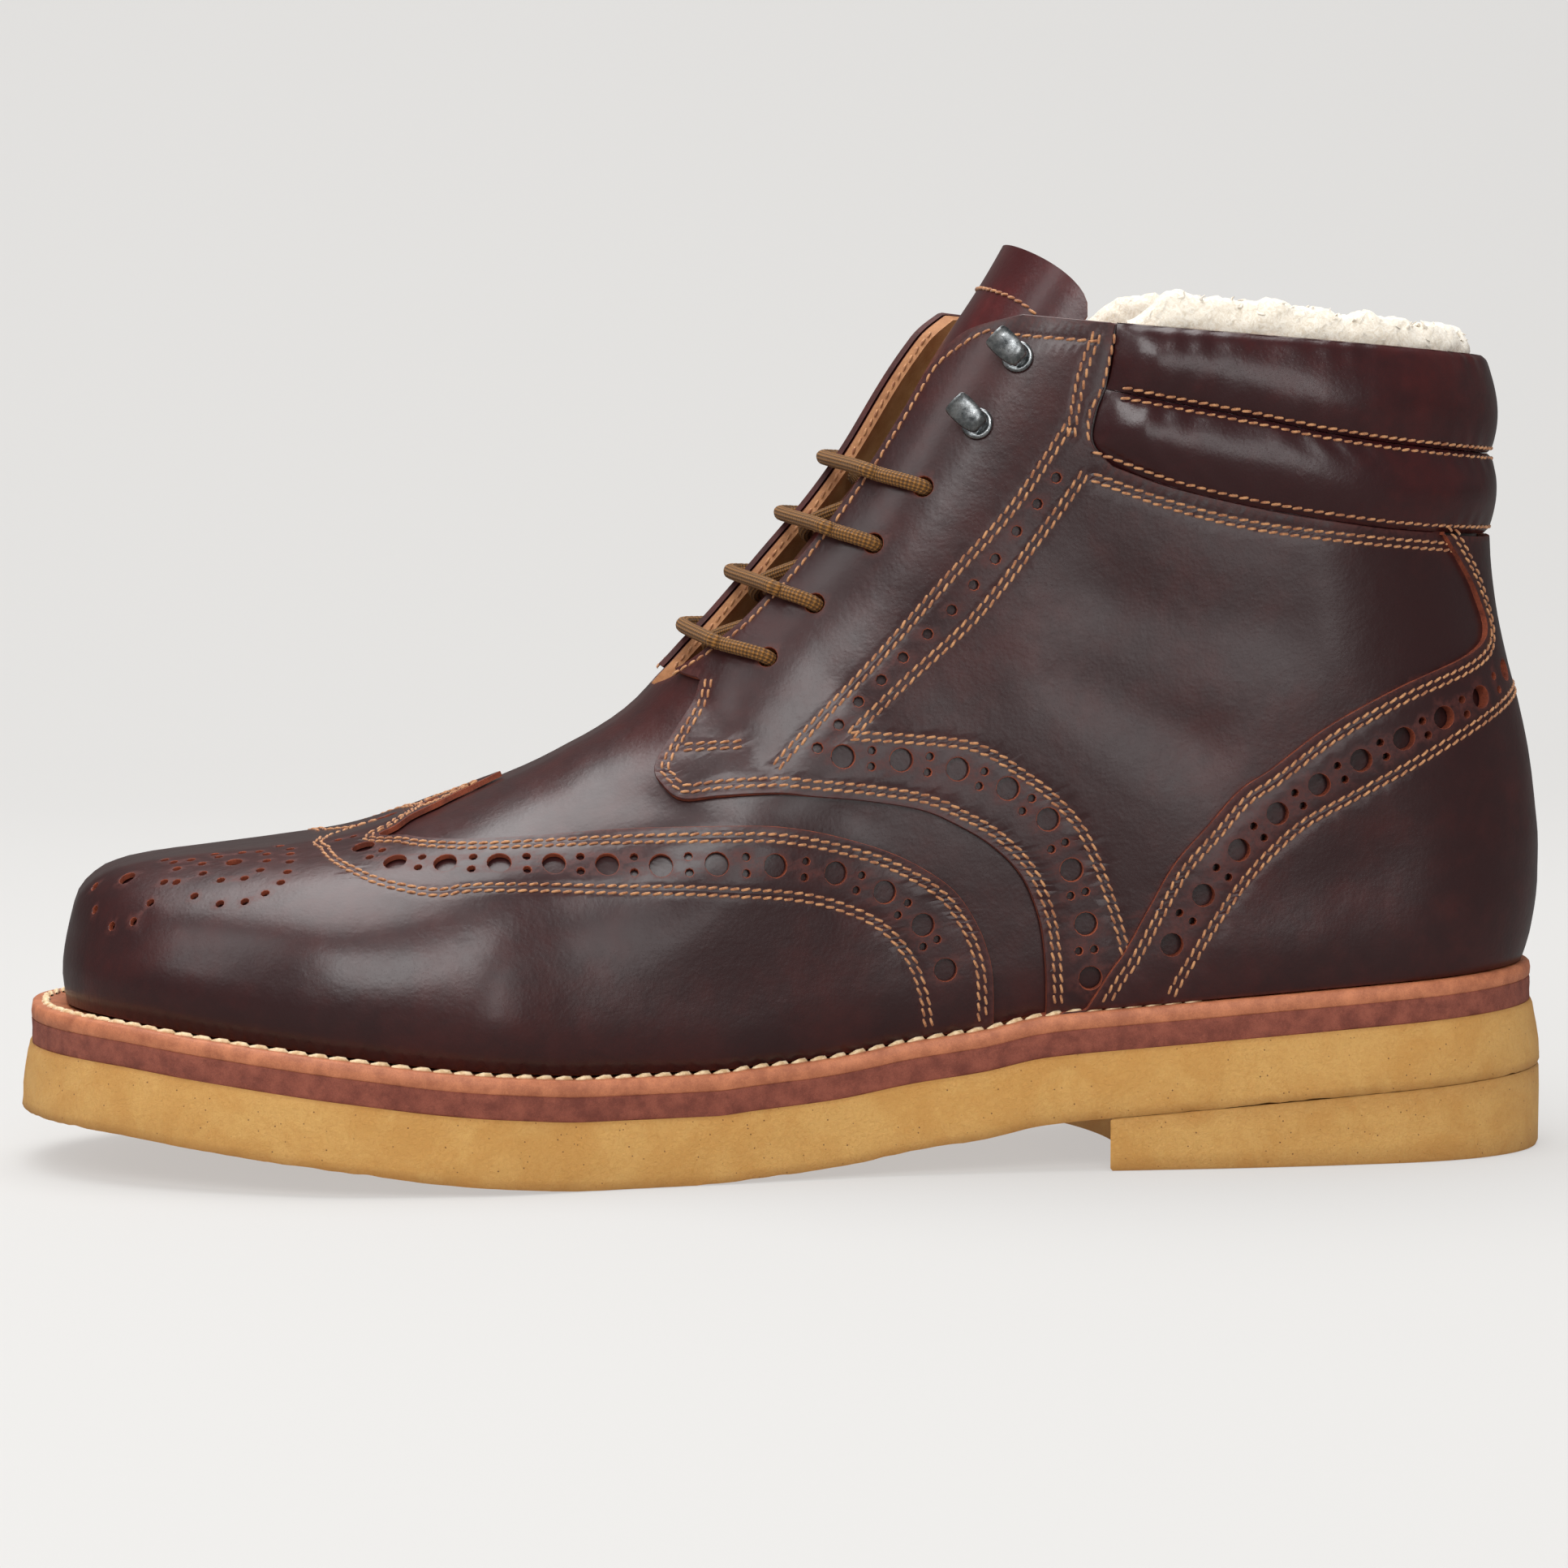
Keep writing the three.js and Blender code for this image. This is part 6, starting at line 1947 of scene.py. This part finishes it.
@dataclass
class Hook:
    """One speed hook: a riveted disc and a bent cap that opens toward the toe."""

    palette: Palette
    number: int
    side: Side

    def build(self) -> None:
        """Makes the hook."""
        along, rise = HOOKS[self.number - 1]
        turn, climb = LAST.chart(np.array([float(to_x(along))]), np.array([rise * LEG_HEIGHT]))[0]
        turn = turn if self.side is Side.LATERAL else TURN - turn
        point = LAST.points(np.array(turn), np.array(climb), GAP + OVERLAY + 0.15)
        normal = LAST.normal(np.array(turn), np.array(climb))
        toward = np.array([-0.72, 0, 0.69])
        toward -= normal * np.dot(toward, normal)
        toward /= np.linalg.norm(toward)
        third = np.cross(normal, toward)
        local = self._disc() + self._cap()
        points = np.array([point + toward * x + third * y + normal * z for x, y, z in local])
        cap_start = len(self._disc())
        faces = self._disc_faces() + [[i + cap_start for i in face] for face in self._cap_faces()]
        name = f"speed_hook_{self.number}_{self.side.name.lower()}"
        piece = Meshes.make(name, points, faces, [self.palette.metal], sharp=1.0, closed=True)
        smooth = piece.modifiers.new("round", "SUBSURF")
        smooth.levels = smooth.render_levels = 2
        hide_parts(f"hook_{self.number}_{self.side.name.lower()}")
        settle(piece)

    RINGS = (
        (3.3, 0.0), (3.3, 0.45), (2.95, 0.85), (2.35, 0.8), (2.15, 0.45), (1.3, 0.5), (1.15, 1.0),
        (0.6, 1.2), (0.0, 1.22),
    )
    SIDES = 16

    def _disc(self) -> list[Point]:
        """Points of the lipped disc with its rivet."""
        points = [(0.0, 0.0, 0.0)]
        for radius, height in self.RINGS[:-1]:
            for i in range(self.SIDES):
                angle = i / self.SIDES * TURN
                points.append((radius * math.cos(angle), radius * math.sin(angle), height))
        points.append((0.0, 0.0, self.RINGS[-1][1]))
        return points

    def _disc_faces(self) -> list[list[int]]:
        """Faces of the disc."""
        faces = []
        last = len(self.RINGS) - 2
        for ring in range(last):
            for i in range(self.SIDES):
                a, b = 1 + ring * self.SIDES + i, 1 + ring * self.SIDES + (i + 1) % self.SIDES
                faces.append([a, b, b + self.SIDES, a + self.SIDES])
        top = 1 + last * self.SIDES
        for i in range(self.SIDES):
            after = (i + 1) % self.SIDES
            faces.append([0, 1 + after, 1 + i])
            faces.append([top + i, top + after, top + self.SIDES])
        return faces

    PROFILE = (
        (-1.6, 0.5, 1.1), (-1.75, 1.7, 1.5), (-1.3, 2.9, 2.0), (0.0, 3.7, 2.5), (1.6, 4.0, 2.75),
        (3.2, 4.5, 2.8), (4.6, 5.3, 2.7), (5.2, 5.9, 2.4),
    )

    def _cap(self) -> list[Point]:
        """Points of the bent cap: sections across it, above and below."""
        points = []
        for x, z, half in self.PROFILE:
            for under in (0.0, 0.75):
                for across in (-1.0, -0.55, 0.0, 0.55, 1.0):
                    droop = 0.55 * across * across
                    points.append((x + under * 0.25, across * half, z - under - droop))
        return points

    def _cap_faces(self) -> list[list[int]]:
        """Faces of the cap."""
        faces = []
        for row in range(len(self.PROFILE) - 1):
            a, b = row * 10, (row + 1) * 10
            for i in range(4):
                faces.append([a + i, b + i, b + i + 1, a + i + 1])
                faces.append([a + 5 + i, a + 6 + i, b + 6 + i, b + 5 + i])
            faces.append([a, a + 5, b + 5, b])
            faces.append([a + 4, b + 4, b + 9, a + 9])
        for a, flip in ((0, False), ((len(self.PROFILE) - 1) * 10, True)):
            for i in range(4):
                face = [a + i, a + i + 1, a + 6 + i, a + 5 + i]
                faces.append(face[::-1] if flip else face)
        return faces


@dataclass
class Sole:
    """Crepe outsole and heel lift, leather midsole, stitched welt and insole."""

    COLUMNS = 840

    palette: Palette

    def __post_init__(self) -> None:
        self.turns = np.arange(self.COLUMNS) / self.COLUMNS * TURN

    def loop(self, reach: Callable[[Array], Array], height: Callable[[Array], Array]) -> Array:
        """Closed line round the boot."""
        points = LAST.outline(self.turns, reach)
        points[:, 2] = height(points[:, 0])
        return points

    def slab(self, name: str, loops: list[Array], material: Material, wear: list[float],
             lids: bool = True) -> Object:
        """Solid between stacked loops.

        Args:
            name: Piece name.
            loops: Loops from bottom to top.
            material: Material.
            wear: Wear of each loop.
            lids: Whether the first and last loops are closed by lids, or joined to each other.

        Returns:
            The piece.
        """
        count = self.COLUMNS
        faces = Meshes.grid(len(loops), count, closed=True)
        if lids:
            for start, flip in ((0, False), ((len(loops) - 1) * count, True)):
                for i in range(count // 2):
                    other, other_next = (count - i) % count, count - i - 1
                    face = [start + i, start + i + 1, start + other_next, start + other]
                    face = [number for k, number in enumerate(face) if number not in face[:k]]
                    if len(face) > 2:
                        faces.append(face[::-1] if flip else face)
        else:
            top = (len(loops) - 1) * count
            for i in range(count):
                after = (i + 1) % count
                faces.append([top + i, i, after, top + after])
        numbers = np.repeat(np.array(wear, float), count)
        return Meshes.make(name, np.vstack(loops), faces, [material], values={"wear": numbers}, sharp=0.8,
                           closed=True)

    def ragged(self, size: float, seed: float) -> Array:
        """Uneven trimming along a loop."""
        t = self.turns
        total = np.zeros_like(t)
        for number, waves in enumerate((9, 23, 41, 77, 131, 173)):
            total += np.sin(t * waves + seed * (number + 1.7)) / (1 + 0.6 * number)
        return total * size / 2

    def push(self, loop: Array, outward: Array, up: Array | float = 0.0) -> Array:
        """Loop moved outward and up point by point."""
        normal = LAST.normal(self.turns, np.zeros_like(self.turns))
        moved = loop + normal * outward[:, None]
        moved[:, 2] += up
        return moved

    def outsole(self) -> Object:
        """Crepe outsole."""
        def full(along: Array) -> Array:
            return LAST.reach(along) + CREPE_FLARE
        loops, wear = [], []
        for share, inset, worn in ((0.0, 1.4, 0.25), (0.0, 0.3, 0.9), (0.05, 0.02, 0.6), (0.16, 0.0, 0.1),
                                   (0.35, 0.15, 0.0), (0.6, 0.6, 0.0), (0.82, 1.1, 0.05), (0.94, 1.5, 0.2),
                                   (1.0, 1.9, 0.8), (1.0, 3.0, 0.5)):
            loop = self.loop(lambda along, inset=inset: full(along) - inset,
                             lambda x, share=share: LAST.underside(x) + share * (CREPE + GAP))
            rough = self.ragged(0.34 if share < 0.1 else 0.2, share * 4)
            notch = np.maximum(rough, 0) * (0.9 if share < 0.1 else 0.3 if share < 1 else 0.0)
            loops.append(self.push(loop, np.minimum(rough, 0.12), notch))
            wear.append(worn)
        piece = self.slab("crepe_outsole", loops, self.palette.crepe, wear)
        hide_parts("outsole")
        return piece

    def heel(self) -> Object:
        """Crepe heel lift with its hollow breast."""
        breast = float(to_x(BREAST_SHARE))
        centre = breast + BREAST_HOLLOW - BREAST_RADIUS
        middle = float(LAST.swing(BREAST_SHARE))
        turns = np.linspace(-1.5, 1.5, 800)
        rings, worn = [], []
        plan = ((0.0, 0.9, 0.5), (0.0, 0.35, 0.9), (0.05, 0.0, 0.5), (0.3, -0.05, 0.0), (0.7, -0.1, 0.0),
                (0.96, 0.0, 0.5), (1.0, 0.3, 0.8))
        for share, inset, wear in plan:
            loop = LAST.outline(turns, lambda along, inset=inset: LAST.reach(along) + CREPE_FLARE - inset)
            front = centre + np.sqrt(np.maximum(BREAST_RADIUS**2 - (loop[:, 1] - middle) ** 2, 0)) + inset
            rear = loop[loop[:, 0] >= front]
            arc_y = np.linspace(rear[-1, 1], rear[0, 1], 60)[1:-1]
            arc_x = centre + inset + np.sqrt(np.maximum(BREAST_RADIUS**2 - (arc_y - middle) ** 2, 0))
            ring = np.vstack([rear, np.stack([arc_x, arc_y, np.zeros(58)], axis=1)])
            closed = resample(np.vstack([ring, ring[:1]]), 1.0)
            length = np.linspace(0, 1, 401)[:-1]
            wanted = np.linspace(0, 1, len(closed))
            ring = np.stack([np.interp(length, wanted, closed[:, i]) for i in range(3)], axis=1)
            top = np.maximum(LAST.underside(ring[:, 0]) - 0.08, 2.2)
            rough = (0.12 * np.sin(length * TURN * 31 + share * 5)
                     + 0.1 * np.sin(length * TURN * 67 + share * 9))
            ring[:, 2] = top * share + (np.maximum(rough, 0) * 0.8 if 0 < share < 1 else 0)
            rings.append(ring)
            worn.append(wear)
        count = 400
        faces = Meshes.grid(len(rings), count, closed=True)
        points = np.vstack(rings)
        hub = len(points)
        points = np.vstack([points, rings[0].mean(axis=0), rings[-1].mean(axis=0)])
        top = (len(rings) - 1) * count
        for i in range(count):
            faces.append([i, (i + 1) % count, hub])
            faces.append([top + (i + 1) % count, top + i, hub + 1])
        numbers = np.concatenate([np.repeat(np.array(worn), count), [0.2, 0.2]])
        piece = Meshes.make("crepe_heel_lift", points, faces, [self.palette.crepe], values={"wear": numbers},
                            sharp=0.8, closed=True)
        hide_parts("heel_lift")
        return piece

    def midsole(self) -> Object:
        """Leather midsole with a fuzzy edge."""
        loops, wear = [], []
        for share, inset in ((0.0, 0.8), (0.0, 0.15), (0.1, 0.0), (0.35, 0.05), (0.65, 0.05), (0.9, 0.0),
                             (1.0, 0.2), (1.0, 1.0)):
            loop = self.loop(lambda along, inset=inset: LAST.reach(along) - inset,
                             lambda x, share=share: LAST.crepe_top(x) + GAP + share * (MIDSOLE + GAP))
            loops.append(self.push(loop, self.ragged(0.1, share * 7)))
            wear.append(0.0)
        piece = self.slab("leather_midsole", loops, self.palette.midsole, wear)
        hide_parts("midsole")
        return piece

    def welt(self) -> Object:
        """Welt strip with rounded edges."""
        loops = []
        for height, inset in ((0.0, None), (0.0, 0.3), (0.12, 0.0), (0.5, -0.1), (0.85, 0.1), (1.0, 0.6),
                              (1.0, 2.4), (0.9, 3.0), (0.97, None)):
            inner = inset is None
            loop = self.loop(
                lambda along, inset=inset, inner=inner: np.full_like(along, -WELT_INSIDE) if inner
                else LAST.reach(along) - inset,
                lambda x, height=height: LAST.midsole_top(x) + GAP + height * WELT)
            loops.append(loop)
        piece = self.slab("stitched_welt", loops, self.palette.welt, [0.0] * len(loops), lids=False)
        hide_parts("welt")
        return piece

    def welt_stitches(self) -> Object:
        """Row of thick stitches on the welt, from the waist round the toe."""
        sewing = Sewing("welt_stitches", pitch=4.0, length=4.1, radius=0.62, slant=0.24)
        turns = np.linspace(1.02, TURN - 1.02, 1600)
        points = LAST.outline(turns, lambda along: LAST.reach(along) - 2.6)
        points[:, 2] = LAST.midsole_top(points[:, 0]) + GAP + WELT
        outward = LAST.normal(turns, np.zeros_like(turns))
        normals = np.tile([0.0, 0.0, 1.0], (len(points), 1)) + 0.6 * outward
        sewing.line(points, normals)
        return sewing.build(self.palette.welt_thread)

    def insole(self) -> Object:
        """Insole inside the boot."""
        loops = []
        for height, inset in ((0.0, 0.0), (0.8, 0.0), (1.0, 0.6)):
            loops.append(self.loop(lambda along, inset=inset: np.full_like(along, -(WALL + 5 * GAP + inset)),
                                   lambda x, height=height: LAST.feather(x) + 3.0 * height))
        piece = self.slab("insole_board", loops, self.palette.lining, [0.0] * 3)
        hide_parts("insole")
        return piece

    def build(self) -> None:
        """Makes every piece of the sole."""
        settle(self.outsole())
        settle(self.heel())
        settle(self.midsole())
        settle(self.welt())
        settle(self.welt_stitches())
        settle(self.insole())


class Studio:
    """Camera, backdrop and soft lights."""

    YAW = math.radians(7.0)
    PITCH = math.radians(4.335)

    def camera(self) -> None:
        """Camera at the photograph's angle."""
        data = bpy.data.cameras.new("camera")
        data.lens = 125.85
        data.sensor_width = 36.0
        data.shift_x = -8 / 1932
        data.clip_start = 0.05
        camera = bpy.data.objects.new("camera", data)
        camera.location = (-0.1341, -1.0918, 0.1575)
        camera.rotation_euler = (math.pi / 2 - self.PITCH, 0, -self.YAW)
        bpy.context.scene.collection.objects.link(camera)
        bpy.context.scene.camera = camera

    def backdrop(self) -> None:
        """Paper sweep under and behind the boot."""
        profile = [(-3.0, 0.0), (0.9, 0.0)]
        for i in range(1, 13):
            angle = i / 12 * math.pi / 2
            profile.append((0.9 + 0.8 * math.sin(angle), 0.8 - 0.8 * math.cos(angle)))
        profile.append((1.7, 3.0))
        across = np.linspace(-4, 4, 9)
        points = [(x, y, z - PAPER_SINK) for y, z in profile for x in across]
        mesh = bpy.data.meshes.new("paper_sweep")
        mesh.from_pydata(points, [], [face[::-1] for face in Meshes.grid(len(profile), len(across))])
        mesh.polygons.foreach_set("use_smooth", np.ones(len(mesh.polygons), bool))
        mesh.materials.append(Backdrop().material())
        sweep = bpy.data.objects.new("paper_sweep", mesh)
        bpy.context.scene.collection.objects.link(sweep)

    def light(self, name: str, place: Point, target: Point, size: tuple[float, float], power: float) -> None:
        """Adds a rectangular soft light aimed at a target."""
        data = bpy.data.lights.new(name, "AREA")
        data.shape = "RECTANGLE"
        data.size, data.size_y = size
        data.energy = power
        lamp = bpy.data.objects.new(name, data)
        lamp.location = place
        aim = Vector(target) - Vector(place)
        lamp.rotation_euler = aim.to_track_quat("-Z", "Y").to_euler()
        bpy.context.scene.collection.objects.link(lamp)

    def build(self) -> None:
        """Sets up the whole studio."""
        self.camera()
        self.backdrop()
        self.light("top_soft", (-0.2, 0.2, 1.5), (0, 0, 0.05), (1.6, 1.1), 25)
        self.light("front_soft", (-0.35, -1.6, 1.15), (0, 0, 0.06), (1.2, 0.75), 16)
        self.light("left_soft", (-1.45, -0.65, 1.15), (0, 0, 0.1), (0.5, 0.7), 3.2)
        self.light("side_strip", (0.5, -1.68, 0.24), (0.07, 0, 0.09), (0.22, 1.0), 3.4)
        world = bpy.data.worlds.new("studio_air")
        world.use_nodes = True
        tree = world.node_tree
        mirrored_ray = tree.nodes.new("ShaderNodeLightPath").outputs["Is Glossy Ray"]
        dim = tree.nodes.new("ShaderNodeMapRange")
        dim.inputs["To Min"].default_value = 0.5
        dim.inputs["To Max"].default_value = 0.14
        tree.links.new(mirrored_ray, dim.inputs["Value"])
        tree.links.new(dim.outputs[0], tree.nodes["Background"].inputs["Strength"])
        tree.nodes["Background"].inputs["Color"].default_value = (1, 1, 0.99, 1)
        bpy.context.scene.world = world
        bpy.context.scene.view_settings.view_transform = "Standard"


def main() -> None:
    """Builds the boot on its frame."""
    logging.basicConfig(level=logging.INFO, format="%(message)s")
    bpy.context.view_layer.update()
    palette = Palette()
    Studio().build()
    Sole(palette).build()
    Upper(palette).build()
    Collar(palette).build()
    Tongue(palette).build()
    Fur(palette).build()
    Lace(palette).build()
    for number in (1, 2):
        for side in Side:
            Hook(palette, number, side).build()


if __name__ == "__main__":
    main()
